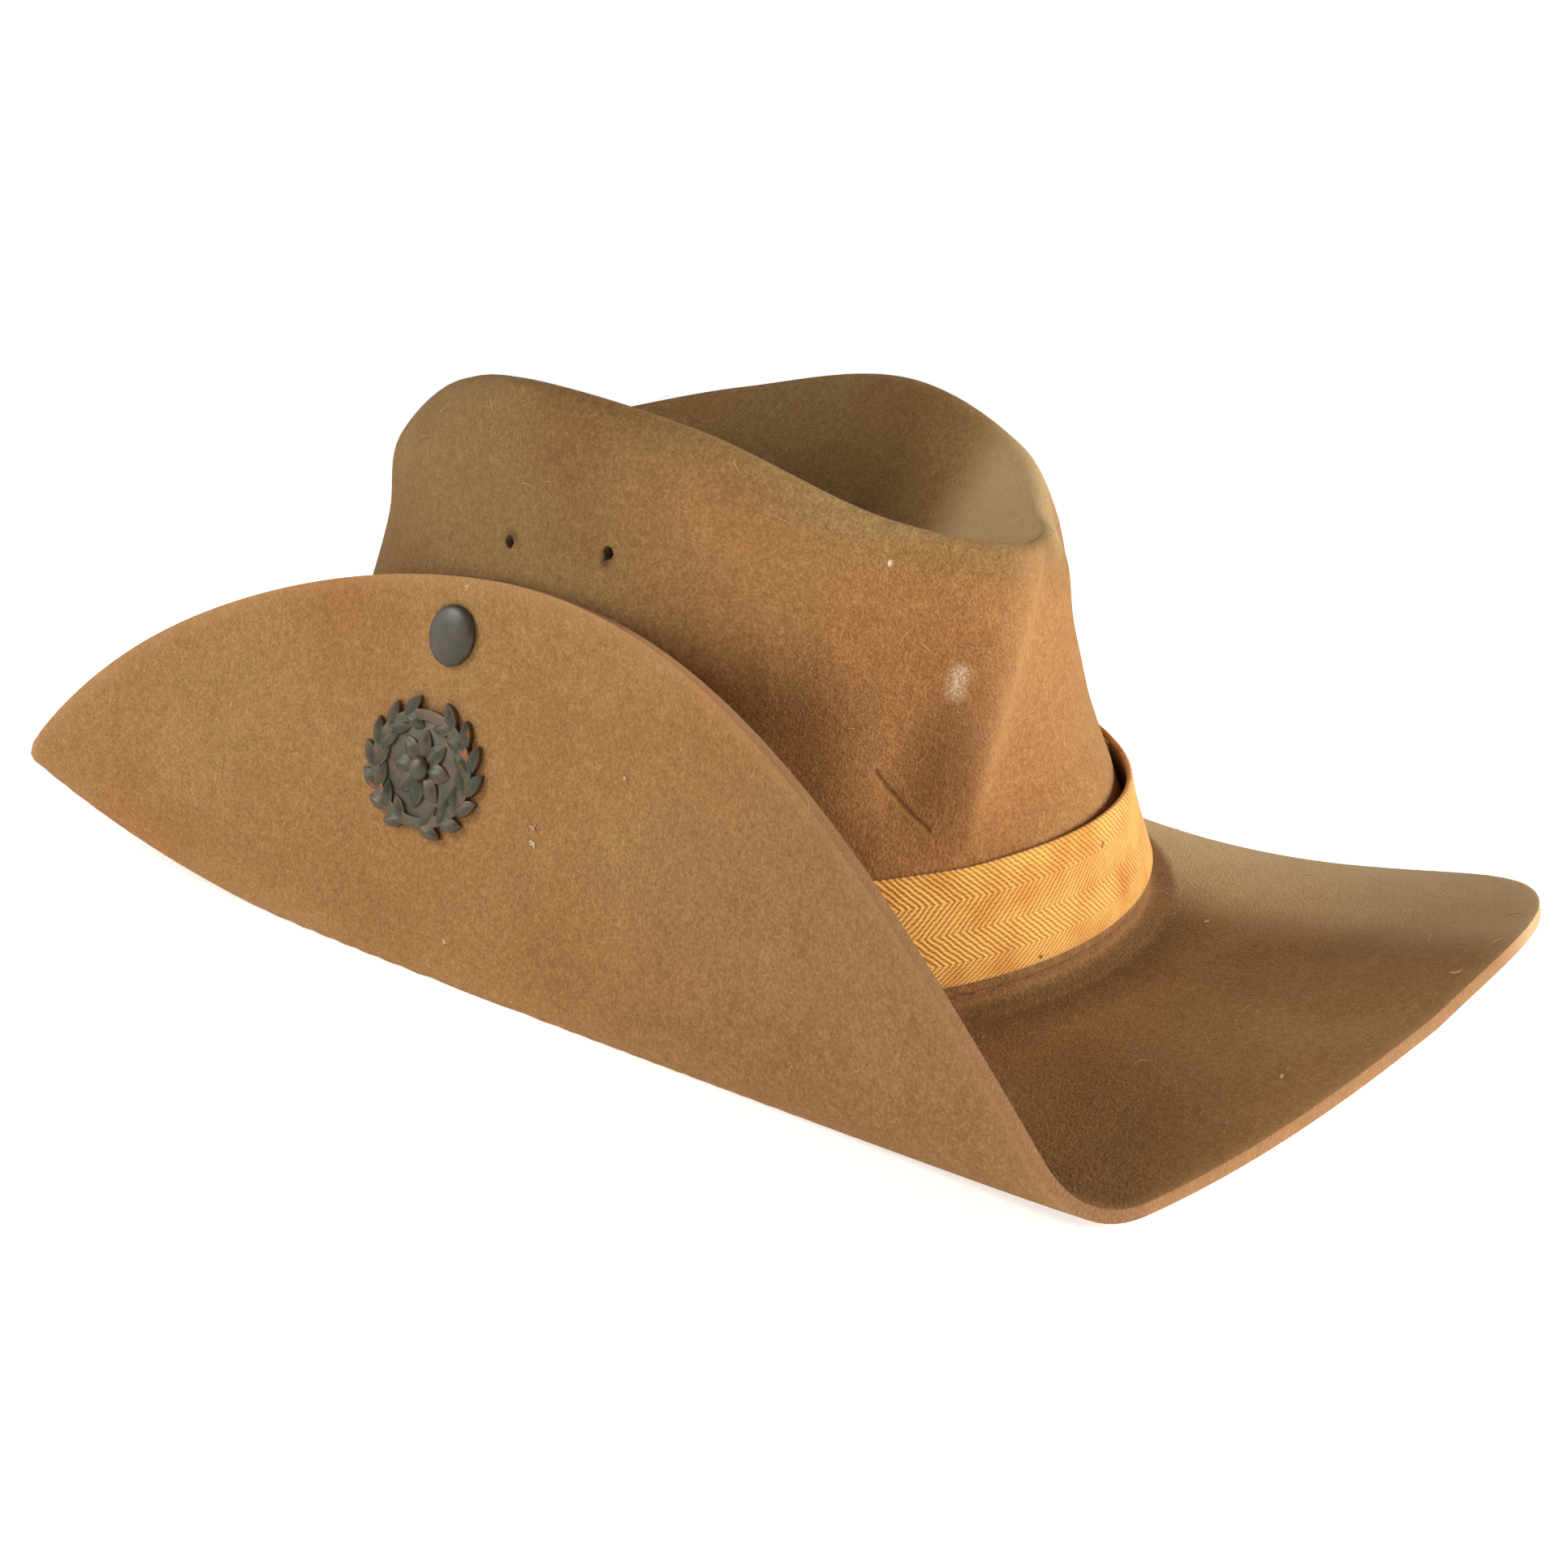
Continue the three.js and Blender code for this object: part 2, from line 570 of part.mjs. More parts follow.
function wreathLeaves() {
  const blades = [];
  for (const hand of [-1, 1]) {
    for (let k = 0; k < LEAF_PAIRS; k += 1) {
      const turn = radians(mix(-70, 68, k / (LEAF_PAIRS - 1)));
      for (const side of [-1, 1]) {
        const reach = 0.80 + 0.09 * side;
        const heading = turn + Math.PI / 2 - 0.6 * side;
        const blade = leaf(0.24 * BADGE_HEIGHT, 0.10 * BADGE_HEIGHT);
        blade.rotateZ(hand > 0 ? heading : Math.PI - heading);
        const x = hand * reach * BADGE_WIDTH / 2 * Math.cos(turn);
        blades.push(blade.translate(x, reach * BADGE_HEIGHT / 2 * Math.sin(turn), 0));
      }
    }
  }
  return blades;
}

function rosette() {
  const petals = [];
  for (let k = 0; k < PETALS; k += 1) {
    const turn = 2 * Math.PI * k / PETALS;
    const reach = 0.17 * BADGE_HEIGHT;
    const petal = leaf(0.24 * BADGE_HEIGHT, 0.13 * BADGE_HEIGHT).rotateZ(turn);
    petals.push(petal.translate(reach * Math.cos(turn), reach * Math.sin(turn), 0));
  }
  return petals;
}

function ovalPlate(share, thickness, hole) {
  const shape = new THREE.Shape();
  shape.absellipse(0, 0, share * BADGE_WIDTH / 2, share * BADGE_HEIGHT / 2, 0, 2 * Math.PI);
  if (hole > 0) {
    const inside = new THREE.Path();
    inside.absellipse(0, 0, hole * BADGE_WIDTH / 2, hole * BADGE_HEIGHT / 2, 0, 2 * Math.PI);
    shape.holes.push(inside);
  }
  return new THREE.ExtrudeGeometry(shape, { depth: thickness, bevelEnabled: false, curveSegments: 12 });
}

function badgeBody() {
  const button = 0.09 * BADGE_HEIGHT;
  const dome = [
    new THREE.Vector2(0, 0),
    new THREE.Vector2(button, 0),
    new THREE.Vector2(button, BADGE_THICK + 0.5 * BADGE_RELIEF),
    new THREE.Vector2(0.6 * button, BADGE_THICK + BADGE_RELIEF),
    new THREE.Vector2(0, BADGE_THICK + 1.2 * BADGE_RELIEF),
  ];
  const pieces = [
    ovalPlate(0.72, 0.4 * BADGE_THICK, 0),
    ovalPlate(0.86, 0.9 * BADGE_THICK, 0.70),
    new THREE.LatheGeometry(dome, 12).rotateX(Math.PI / 2),
    ...wreathLeaves(),
    ...rosette(),
    ...lugPlaces.map((x) => cylinder(LUG_DIAMETER / 2, -lugReach, 0.2 * BADGE_THICK, 8).translate(x, 0, 0)),
  ];
  const body = pieces.map(solidOf).reduce((whole, piece) => whole.add(piece));
  return geometryFrom(body).translate(0, 0, badgeSeat).applyMatrix4(badgeFrame);
}

// The assembly
const hat = new THREE.Group();
function add(name, geometry, material) {
  const mesh = new THREE.Mesh(geometry, material);
  mesh.name = name;
  hat.add(mesh);
}
add('felt_body', feltBody(), FELT_MATERIAL);
add('hat_band', hatBand(), BAND_MATERIAL);
add('snap_cap', studCap(), STUD_MATERIAL);
add('snap_post', studPost(), POST_MATERIAL);
add('badge', badgeBody(), BADGE_MATERIAL);

hat.rotation.y = -leanAngle;
hat.updateMatrixWorld(true);
const box = new THREE.Box3().setFromObject(hat, true);
hat.position.set(-(box.min.x + box.max.x) / 2, -(box.min.y + box.max.y) / 2, -box.min.z);
hat.updateMatrixWorld(true);

export default hat;
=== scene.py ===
# Slouch hat of pressed wool felt. One side of the wide brim is turned up and held against the crown
# by a press stud. A band of herringbone webbing goes round the crown, and a small cast badge of
# leaves sits on the turned-up side.
# The hat is shaped in millimetres with its head line level, as on a hatter's block, and then leaned
# and set down on the table by one matrix.
import math
import random

import bmesh
import bpy
from mathutils import Matrix, Vector


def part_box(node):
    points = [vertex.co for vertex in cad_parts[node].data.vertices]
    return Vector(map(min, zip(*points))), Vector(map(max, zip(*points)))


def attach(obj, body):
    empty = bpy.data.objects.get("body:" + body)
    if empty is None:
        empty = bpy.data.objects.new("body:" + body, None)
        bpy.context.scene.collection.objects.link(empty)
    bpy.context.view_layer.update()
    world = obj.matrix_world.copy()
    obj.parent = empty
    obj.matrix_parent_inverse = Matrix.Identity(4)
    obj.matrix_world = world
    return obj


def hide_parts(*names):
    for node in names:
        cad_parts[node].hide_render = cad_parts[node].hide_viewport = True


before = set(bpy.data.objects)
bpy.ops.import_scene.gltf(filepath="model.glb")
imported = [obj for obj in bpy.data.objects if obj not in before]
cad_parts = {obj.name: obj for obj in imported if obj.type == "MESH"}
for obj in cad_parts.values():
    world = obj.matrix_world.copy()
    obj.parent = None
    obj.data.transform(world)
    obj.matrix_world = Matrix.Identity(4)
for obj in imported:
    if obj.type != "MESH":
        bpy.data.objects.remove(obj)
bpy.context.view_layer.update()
MM = 0.001


def srgb(code):
    channels = [int(code[i:i + 2], 16) / 255 for i in (1, 3, 5)]
    return [c / 12.92 if c <= 0.04045 else ((c + 0.055) / 1.055) ** 2.4 for c in channels] + [1.0]


def node(tree, kind, settings=None, **links):
    """Adds a shader node, sets its properties, and fills its inputs with values or other sockets."""
    made = tree.nodes.new(kind)
    for key, value in (settings or {}).items():
        setattr(made, key, value)
    for key, value in links.items():
        socket = made.inputs[int(key[1:]) if key[0] == "i" and key[1:].isdigit() else key.replace("_", " ")]
        if isinstance(value, bpy.types.NodeSocket):
            tree.links.new(value, socket)
        else:
            socket.default_value = value
    return made


def new_material(name):
    material = bpy.data.materials.new(name)
    material.use_nodes = True
    tree = material.node_tree
    shader = next(n for n in tree.nodes if n.type == "BSDF_PRINCIPLED")
    return material, tree, shader


def ramp(tree, factor, stops):
    """Colour ramp from (place, hex colour) pairs."""
    made = node(tree, "ShaderNodeValToRGB", Fac=factor)
    elements = made.color_ramp.elements
    while len(elements) < len(stops):
        elements.new(0.5)
    for element, (place, code) in zip(elements, stops):
        element.position = place
        element.color = srgb(code)
    return made.outputs["Color"]


def maths(tree, operation, *values):
    """Output of a maths node that works on numbers or on other outputs."""
    inputs = {f"i{k}": value for k, value in enumerate(values)}
    return node(tree, "ShaderNodeMath", {"operation": operation}, **inputs).outputs[0]


def object_place(tree):
    return node(tree, "ShaderNodeTexCoord").outputs["Object"]


def noise(tree, where, **settings):
    return node(tree, "ShaderNodeTexNoise", Vector=where, **settings).outputs["Fac"]


def blended(tree, kind, share, under, over):
    """Colour of a share of one colour, given by its code or as an output, blended with another."""
    made = node(tree, "ShaderNodeMix", {"data_type": "RGBA", "blend_type": kind}, i0=share, i6=under)
    if isinstance(over, str):
        made.inputs[7].default_value = srgb(over)
    else:
        tree.links.new(over, made.inputs[7])
    return made.outputs[2]


def roughen(tree, shader, strength, depth_mm, height):
    bump = node(tree, "ShaderNodeBump", Strength=strength, Distance=depth_mm * MM, Height=height)
    tree.links.new(bump.outputs["Normal"], shader.inputs["Normal"])


def smooth_piece(name, shape):
    """New object made of a finished bmesh and shaded smooth."""
    mesh = bpy.data.meshes.new(name)
    shape.to_mesh(mesh)
    for face in mesh.polygons:
        face.use_smooth = True
    piece = bpy.data.objects.new(name, mesh)
    bpy.context.scene.collection.objects.link(piece)
    return piece


def soften_edges(piece, name, width_mm):
    rounding = piece.modifiers.new(name, "BEVEL")
    rounding.width = width_mm * MM
    rounding.segments = 2
    rounding.limit_method = "ANGLE"
    rounding.angle_limit = math.radians(50)


# The felt body: crown and brim are one piece of wool felt, steamed over a block and pressed. Its
# shape goes round the hat by bearing: 0 is the open side, 90 the back, 180 the turned-up side and
# 270 the front, where the crown is pinched.
FELT = 2.6
CROWN_WIDTH, CROWN_LENGTH, CROWN_HEIGHT = 168, 202, 129
CREASE_FRONT, CREASE_BACK = 50, 56
BRIM_OPEN_SIDE, BRIM_TURNED_UP, BRIM_FRONT, BRIM_BACK = 86, 98, 83, 83
OPEN_SIDE_DROP, OPEN_SIDE_TWIST, OPEN_SIDE_BEND = 51, 17, 0.4
FRONT_RISE, BACK_RISE = 8, 25
ROOT_FILLET = 7
BAND_WIDTH, BAND_LIFT = 25, 8
FOLD_RADIUS, FOLD_REACH, FOLD_ANGLE = 10, 165, 109.65
PRESSED_FLAT = 4.0
LEAN = math.radians(11.993)

# Shares of the crown's height (rim) and of the way from the crease to the head line (the rest)
CROWN = [
    dict(bearing=0, rim=0.83, reach=0.75, shoulder=0.86, wall=0.92, band=0.94),
    dict(bearing=30, rim=0.78, reach=0.74, shoulder=0.87, wall=0.93, band=0.96),
    dict(bearing=60, rim=0.73, reach=0.72, shoulder=0.86, wall=0.94, band=0.97),
    dict(bearing=90, rim=0.735, reach=0.64, shoulder=0.81, wall=0.93, band=0.97),
    dict(bearing=120, rim=0.83, reach=0.55, shoulder=0.79, wall=0.96, band=0.98),
    dict(bearing=150, rim=0.94, reach=0.57, shoulder=0.77, wall=0.93, band=0.98),
    dict(bearing=180, rim=1.0, reach=0.68, shoulder=0.76, wall=0.855, band=0.96),
    dict(bearing=210, rim=0.96, reach=0.75, shoulder=0.82, wall=0.90, band=0.95),
    dict(bearing=240, rim=0.82, reach=0.81, shoulder=0.87, wall=0.91, band=0.945),
    dict(bearing=270, rim=0.745, reach=0.865, shoulder=0.92, wall=0.945, band=0.945),
    dict(bearing=300, rim=0.72, reach=0.67, shoulder=0.76, wall=0.83, band=0.865),
    dict(bearing=330, rim=0.77, reach=0.73, shoulder=0.8, wall=0.86, band=0.87),
]
CREASE = [
    dict(along=-1, floor=0.58),
    dict(along=0, floor=0.52),
    dict(along=1, floor=0.58),
]
DENTS = [
    dict(bearing=233, spread=14, slant=28, height=0.44, tall=0.26, depth=0.035),
    dict(bearing=243, spread=8, slant=32, height=0.40, tall=0.17, depth=0.030),
]
RIDGE_BEARING, RIDGE_HEIGHT, RIDGE_SLANT = 252.3, 0.4, 32
FACET_SPREAD, FACET_DEPTH = 16, 7
FOLD = [
    dict(along=-1, line=0.89, radius=1.5, open=24.5),
    dict(along=0, line=0.99, radius=1.1, open=0),
    dict(along=1, line=1.10, radius=1.2, open=11.5),
]
EDGE = [
    dict(bearing=0, reach=1.01, rise=-0.02),
    dict(bearing=30, reach=1.0, rise=-0.02),
    dict(bearing=60, reach=1.0, rise=0),
    dict(bearing=90, reach=1.0, rise=0.03),
    dict(bearing=120, reach=0.93, rise=0.08),
    dict(bearing=150, reach=1.0, rise=0.02),
    dict(bearing=180, reach=1.01, rise=0),
    dict(bearing=210, reach=1.01, rise=-0.06),
    dict(bearing=240, reach=1.0, rise=-0.045),
    dict(bearing=270, reach=0.99, rise=0.1),
    dict(bearing=300, reach=1.04, rise=0.05),
    dict(bearing=330, reach=1.03, rise=-0.015),
]


def around(rows, column, bearing):
    """A column of a table that goes round the hat in equal steps, as a smooth closed curve."""
    place = (bearing % 360) * len(rows) / 360
    first = math.floor(place)
    f = place - first
    a, b, c, d = (rows[(first + k) % len(rows)][column] for k in (-1, 0, 1, 2))
    return 0.5 * (2 * b + (c - a) * f + (2 * a - 5 * b + 4 * c - d) * f ** 2
                  + (3 * b - a - 3 * c + d) * f ** 3)


def along(rows, column, place):
    """A column of a table with rows at -1, 0 and 1, as a smooth curve."""
    front, middle, back = (row[column] for row in rows)
    return middle + (back - front) / 2 * place + ((back + front) / 2 - middle) * place ** 2


def mix(a, b, share):
    return a + (b - a) * share


def smoothstep(x, low, high):
    t = min(max((x - low) / (high - low), 0), 1)
    return t * t * (3 - 2 * t)


def head_line(bearing):
    turn = math.radians(bearing)
    return Vector(((CROWN_WIDTH - FELT) / 2 * math.cos(turn), (CROWN_LENGTH - FELT) / 2 * math.sin(turn)))


def brim_edge(bearing):
    c, s = math.cos(math.radians(bearing)), math.sin(math.radians(bearing))
    side = CROWN_WIDTH / 2 + (BRIM_OPEN_SIDE if c > 0 else BRIM_TURNED_UP)
    end = CROWN_LENGTH / 2 + (BRIM_BACK if s > 0 else BRIM_FRONT)
    return head_line(bearing).lerp(Vector((side * c, end * s)), around(EDGE, "reach", bearing))


def turn_up(flat):
    """Turns up what lies beyond the fold line, round a roll that runs from front to back."""
    place = min(max(flat.y / FOLD_REACH, -1.1), 1.1)
    line = -along(FOLD, "line", place) * CROWN_WIDTH / 2
    radius = along(FOLD, "radius", place) * FOLD_RADIUS
    angle = math.radians(FOLD_ANGLE - along(FOLD, "open", place))
    past = line - flat.x
    if past <= 0:
        return flat
    turned = min(past / radius, angle)
    straight = max(past - radius * angle, 0)
    x = line - radius * math.sin(turned) - straight * math.cos(angle)
    z = flat.z + radius * (1 - math.cos(turned)) + straight * math.sin(angle)
    return Vector((x, flat.y, z))


def brim_height(bearing, share, y):
    c, s = max(math.cos(math.radians(bearing)), 0), math.sin(math.radians(bearing))
    end = CROWN_LENGTH / 2 + (BRIM_BACK if y > 0 else BRIM_FRONT)
    ends = (BACK_RISE if y > 0 else FRONT_RISE) * (y / end) ** 2
    side = OPEN_SIDE_DROP * c ** 2 + OPEN_SIDE_TWIST * c * s
    wave = around(EDGE, "rise", bearing) * BRIM_FRONT
    drop = share + OPEN_SIDE_BEND * share * (1 - share)
    return ends - side * drop + wave * share ** 2


def brim_point(bearing, share):
    root, edge = head_line(bearing), brim_edge(bearing)
    start = ROOT_FILLET / (edge - root).length
    flat = root.lerp(edge, mix(start, 1, share))
    return turn_up(Vector((flat.x, flat.y, brim_height(bearing, share, flat.y))))


def crown_section(bearing):
    """Knots of the crown's section, from the crease over the rim and down into the brim."""
    root = head_line(bearing)
    s = math.sin(math.radians(bearing))
    crease = Vector((0, (CREASE_BACK if s > 0 else CREASE_FRONT) * s))
    floor = along(CREASE, "floor", s) * CROWN_HEIGHT
    rim = around(CROWN, "rim", bearing) * CROWN_HEIGHT
    reach, shoulder, wall, band = (around(CROWN, k, bearing) for k in ("reach", "shoulder", "wall", "band"))
    foot = brim_height(bearing, 0, root.y)
    band_foot = foot + BAND_LIFT
    outward = (brim_edge(bearing) - root).normalized()
    fillet = root + outward * 0.25 * ROOT_FILLET

    def point(share, height):
        return Vector((*crease.lerp(root, share), height))

    return [
        point(0, floor),
        point(0.40 * reach, mix(floor, rim, 0.10)),
        point(0.76 * reach, mix(floor, rim, 0.70)),
        point(reach, rim),
        point(mix(reach, shoulder, 0.75), 0.93 * rim),
        point(shoulder, 0.78 * rim),
        point(wall, 0.50 * rim),
        point(band, band_foot + BAND_WIDTH),
        point(1, band_foot),
        Vector((*fillet, foot + 0.3 * ROOT_FILLET)),
        brim_point(bearing, 0),
    ]


SECTION_END, RIM_PLACE = 10, 3
BAND_TOP, BAND_FOOT = 7, 8


def on_curve(knots, place):
    """Point of the centripetal Catmull-Rom curve through the knots."""
    k = min(int(place), len(knots) - 2)
    f = place - k
    before = knots[k - 1] if k > 0 else knots[0] * 2 - knots[1]
    after = knots[k + 2] if k + 2 < len(knots) else knots[-1] * 2 - knots[-2]
    p = (before, knots[k], knots[k + 1], after)
    d = [max((p[i + 1] - p[i]).length, 1e-6) ** 0.5 for i in range(3)]
    t1 = ((p[1] - p[0]) / d[0] - (p[2] - p[0]) / (d[0] + d[1]) + (p[2] - p[1]) / d[1]) * d[1]
    t2 = ((p[2] - p[1]) / d[1] - (p[3] - p[1]) / (d[1] + d[2]) + (p[3] - p[2]) / d[2]) * d[1]
    c2 = -3 * p[1] + 3 * p[2] - 2 * t1 - t2
    c3 = 2 * p[1] - 2 * p[2] + t1 + t2
    return p[1] + t1 * f + c2 * f ** 2 + c3 * f ** 3


def turn_past(p, bearing, line, slant, height):
    """Degrees past a line that turns with the height of a point on the crown."""
    at = line + slant * (p.z / CROWN_HEIGHT - height)
    return (bearing - at + 180) % 360 - 180


def dent(p, bearing, place):
    """Pushes a point of the crown in where a dent or the facet beside the ridge is."""
    depth = 0
    for d in DENTS:
        turn = turn_past(p, bearing, d["bearing"], d["slant"], d["height"]) / d["spread"]
        rise = (p.z / CROWN_HEIGHT - d["height"]) / d["tall"]
        depth += d["depth"] * CROWN_WIDTH * math.exp(-turn ** 2 - rise ** 2)
    depth *= smoothstep(place, RIM_PLACE - 0.4, RIM_PLACE + 1)
    past = max(turn_past(p, bearing, RIDGE_BEARING, RIDGE_SLANT, RIDGE_HEIGHT) / FACET_SPREAD, 0)
    depth += FACET_DEPTH * past * math.exp(1 - past) * smoothstep(place, 1.8, RIM_PLACE + 0.2)
    over_band = smoothstep(p.z, BAND_LIFT + BAND_WIDTH, 2 * BAND_WIDTH)
    share = 1 - depth * over_band / max(math.hypot(p.x, p.y), FELT)
    return Vector((p.x * share, p.y * share, p.z))


def crown_point(bearing, place):
    return dent(on_curve(crown_section(bearing), place), bearing, place)


# Rings of the felt's middle surface: places down the crown, then shares of the brim, which lie
# closer together where the brim is folded up
STEPS_ROUND = 320
CROWN_RINGS, BRIM_RINGS = 90, 48
FINEST_BEARING, FINEST_SHARE = 255, 0.5


def spaced(turn):
    """Bearings lie closest together at the pinched front, where the felt has its sharpest folds."""
    bunch = math.degrees(FINEST_SHARE * math.sin(math.radians(turn - FINEST_BEARING)))
    return (turn - bunch) % 360


bearings = [spaced(i * 360 / STEPS_ROUND) for i in range(STEPS_ROUND)]


def brim_shares(bearing):
    root, edge = head_line(bearing), brim_edge(bearing)
    span = root.x - edge.x
    place = mix(root.y, edge.y, 0.5) / FOLD_REACH
    roll = along(FOLD, "radius", place) * FOLD_RADIUS * math.pi / 2
    line = -along(FOLD, "line", place) * CROWN_WIDTH / 2
    middle = (root.x - line + roll / 2) / span if span > 0 else 2
    width = max(roll / span, 0.08) if span > 0 else 1
    sums = [0]
    for i in range(200):
        sums.append(sums[-1] + 1 + 3 * math.exp(-(((i + 0.5) / 200 - middle) / width) ** 2))
    shares, k = [], 0
    for j in range(1, BRIM_RINGS + 1):
        target = sums[-1] * j / BRIM_RINGS
        while k < 199 and sums[k + 1] < target:
            k += 1
        shares.append(min((k + (target - sums[k]) / (sums[k + 1] - sums[k])) / 200, 1))
    return shares


# Just below the band the stitching pulls a shallow groove into the felt and leaves a low ridge
SEAM_PLACE, SEAM_GROOVE, GROOVE_SPREAD = 8.42, 0.7, 0.13
SEAM_RIDGE, RIDGE_ABOVE, SEAM_RIDGE_SPREAD = 0.35, 0.22, 0.10

columns = []
for bearing in bearings:
    knots = crown_section(bearing)
    places = [SECTION_END * r / CROWN_RINGS for r in range(CROWN_RINGS + 1)]
    column = [dent(on_curve(knots, place), bearing, place) for place in places]
    outward = (brim_edge(bearing) - head_line(bearing)).normalized().to_3d()
    for p, place in zip(column, places):
        ridge = SEAM_RIDGE * math.exp(-((place - SEAM_PLACE + RIDGE_ABOVE) / SEAM_RIDGE_SPREAD) ** 2)
        groove = SEAM_GROOVE * math.exp(-((place - SEAM_PLACE) / GROOVE_SPREAD) ** 2)
        p += outward * (ridge - groove)
    column += [brim_point(bearing, share) for share in brim_shares(bearing)]
    columns.append(column)

up = Vector((math.sin(LEAN), 0, math.cos(LEAN)))
pressed_level = min(p.dot(up) for column in columns for p in column) + PRESSED_FLAT
for column in columns:
    for p in column:
        p += up * max(pressed_level - p.dot(up), 0)

felt = bmesh.new()
shade = felt.verts.layers.float_color.new("shade")
bmesh.ops.create_circle(felt, segments=STEPS_ROUND, radius=1, cap_ends=False)
ring = sorted(felt.verts, key=lambda v: math.atan2(v.co.y, v.co.x) % (2 * math.pi))
grid = [ring]
edges = list(felt.edges)
for r in range(1, len(columns[0])):
    made = bmesh.ops.extrude_edge_only(felt, edges=edges)["geom"]
    edges = [e for e in made if isinstance(e, bmesh.types.BMEdge) and len(e.link_faces) == 1
             and all(v in made for v in e.verts)]
    grid.append([None] * STEPS_ROUND)
    new = {v for v in made if isinstance(v, bmesh.types.BMVert)}
    for i, v in enumerate(grid[-2]):
        grid[-1][i] = next(e.other_vert(v) for e in v.link_edges if e.other_vert(v) in new)
for r, ring in enumerate(grid):
    for i, v in enumerate(ring):
        v.co = columns[i][r]

# Marks kept at each point, partly of handling and partly painted light and shade. Red is where the felt
# is rubbed to a redder, paler wool: the cut edge, and the pinched ridge, where it is also a painted
# highlight. Green is where it has faded to olive: the tops, the back of the near side and the brim's far
# part. Blue darkens it: dust and sweat at the stitching round the band and where it has faded, painted
# shade on the strip below the stitching, in the crease and on the crease's far wall, a painted shadow of
# the turned-up side's edge on the crown behind it, and painted shade towards the front of the turned-up
# side. Alpha is painted light: the brim's far part and the top at the front of the far rim are painted
# paler. Each number is a share.
RIDGE_WEAR_AND_HIGHLIGHT, EDGE_RUBBED, RIM_PAINTED_LIGHT, LEAST_OLIVE = 0.35, 0.4, 0.85, 0.35
BAND_DIRT_AND_SHADE, CREASE_PAINTED_SHADE, FAR_WALL_PAINTED_SHADE = 0.45, 0.5, 0.4
FADED_SOIL, PAINTED_FLAP_SHADOW, FRONT_PAINTED_SHADE = 0.32, 0.65, 0.25
RIDGE_SPREAD, RIDGE_FOOT, EDGE_SPREAD, SEAM_SPREAD = 4, 0.28, 2.2, 0.5
FADED_BEARING, FADED_NEAR, FADED_FAR = 150, 38, 72
BEHIND_FROM, BEHIND_TO = 185, 262
PAINTED_LIGHT_FROM, PAINTED_LIGHT_OVER = 26, 30
turned_edge = [columns[i][-1] for i in range(0, STEPS_ROUND, 3) if columns[i][-1].z > 20]
for r, ring in enumerate(grid):
    for i, v in enumerate(ring):
        bearing, p = bearings[i], v.co
        place = SECTION_END * r / CROWN_RINGS
        height = p.z / CROWN_HEIGHT
        if r <= CROWN_RINGS:
            # The pinched ridge: rubbed paler wool, and a painted highlight along it
            turn = turn_past(p, bearing, RIDGE_BEARING, RIDGE_SLANT, RIDGE_HEIGHT)
            ridge = math.exp(-(turn / RIDGE_SPREAD) ** 2) * smoothstep(place, 2.6, 3.4)
            ridge *= smoothstep(height, RIDGE_FOOT, RIDGE_FOOT + 0.2)
            faded = 1 - smoothstep(abs(bearing - FADED_BEARING), FADED_NEAR, FADED_FAR)
            faded *= 1 - smoothstep(place, 5.4, 7)
            olive = max(1 - smoothstep(place, 3.2, 4.6), faded)
            seam = math.exp(-((place - SEAM_PLACE) / SEAM_SPREAD) ** 2)
            # Dust at the stitching, and painted shade on the strip below it, where the crown turns into the
            # brim
            soil_and_shade = BAND_DIRT_AND_SHADE * max(seam, smoothstep(place, SEAM_PLACE, 9))
            # Painted shade in the crease, and darker where it has faded
            soil_and_shade += CREASE_PAINTED_SHADE * (1 - smoothstep(place, 0.8, 2.4)) + FADED_SOIL * faded
            # Painted shadow of the turned-up side's edge on the crown behind it
            if place > RIM_PLACE + 1 and BEHIND_FROM < bearing < BEHIND_TO:
                edge = min(turned_edge, key=lambda q: abs(q.y - p.y))
                shaded = smoothstep(bearing, 190, 222) * (1 - smoothstep(bearing, 224, 242))
                soil_and_shade += PAINTED_FLAP_SHADOW * shaded * (1 - smoothstep(p.z - edge.z, -12, 10))
            top = 1 - smoothstep(place, 3.0, 4.2)
            # Painted light: the top at the front of the far rim is painted paler
            painted_light = RIM_PAINTED_LIGHT * top * smoothstep(-p.y, 28, 48) * smoothstep(p.x, 0, 20)
            # Painted shade on the crease's far wall
            soil_and_shade += FAR_WALL_PAINTED_SHADE * top * smoothstep(p.x, 15, 35) * smoothstep(p.y, -35, -10)
            v[shade] = (RIDGE_WEAR_AND_HIGHLIGHT * ridge, olive, min(soil_and_shade * (1 - painted_light), 1), painted_light)
        else:
            from_edge = (p - columns[i][-1]).length
            worn = math.exp(-(from_edge / EDGE_SPREAD) ** 2)
            olive = mix(LEAST_OLIVE, 1, smoothstep(p.x, -0.3 * CROWN_WIDTH, 0.4 * CROWN_WIDTH))
            # Dust at the foot of the crown, and painted shade on the brim next to it
            soil_and_shade = BAND_DIRT_AND_SHADE * (1 - smoothstep(r - CROWN_RINGS, 0, 9))
            # Painted shade: the turned-up side is darker towards the front
            soil_and_shade += FRONT_PAINTED_SHADE * smoothstep(-p.y, 0, 125) * smoothstep(-p.x, 70, 82)
            # Painted light: the brim's far part is painted paler
            painted_light = smoothstep(p.x, PAINTED_LIGHT_FROM, PAINTED_LIGHT_FROM + PAINTED_LIGHT_OVER)
            v[shade] = (EDGE_RUBBED * worn, olive, soil_and_shade, painted_light)

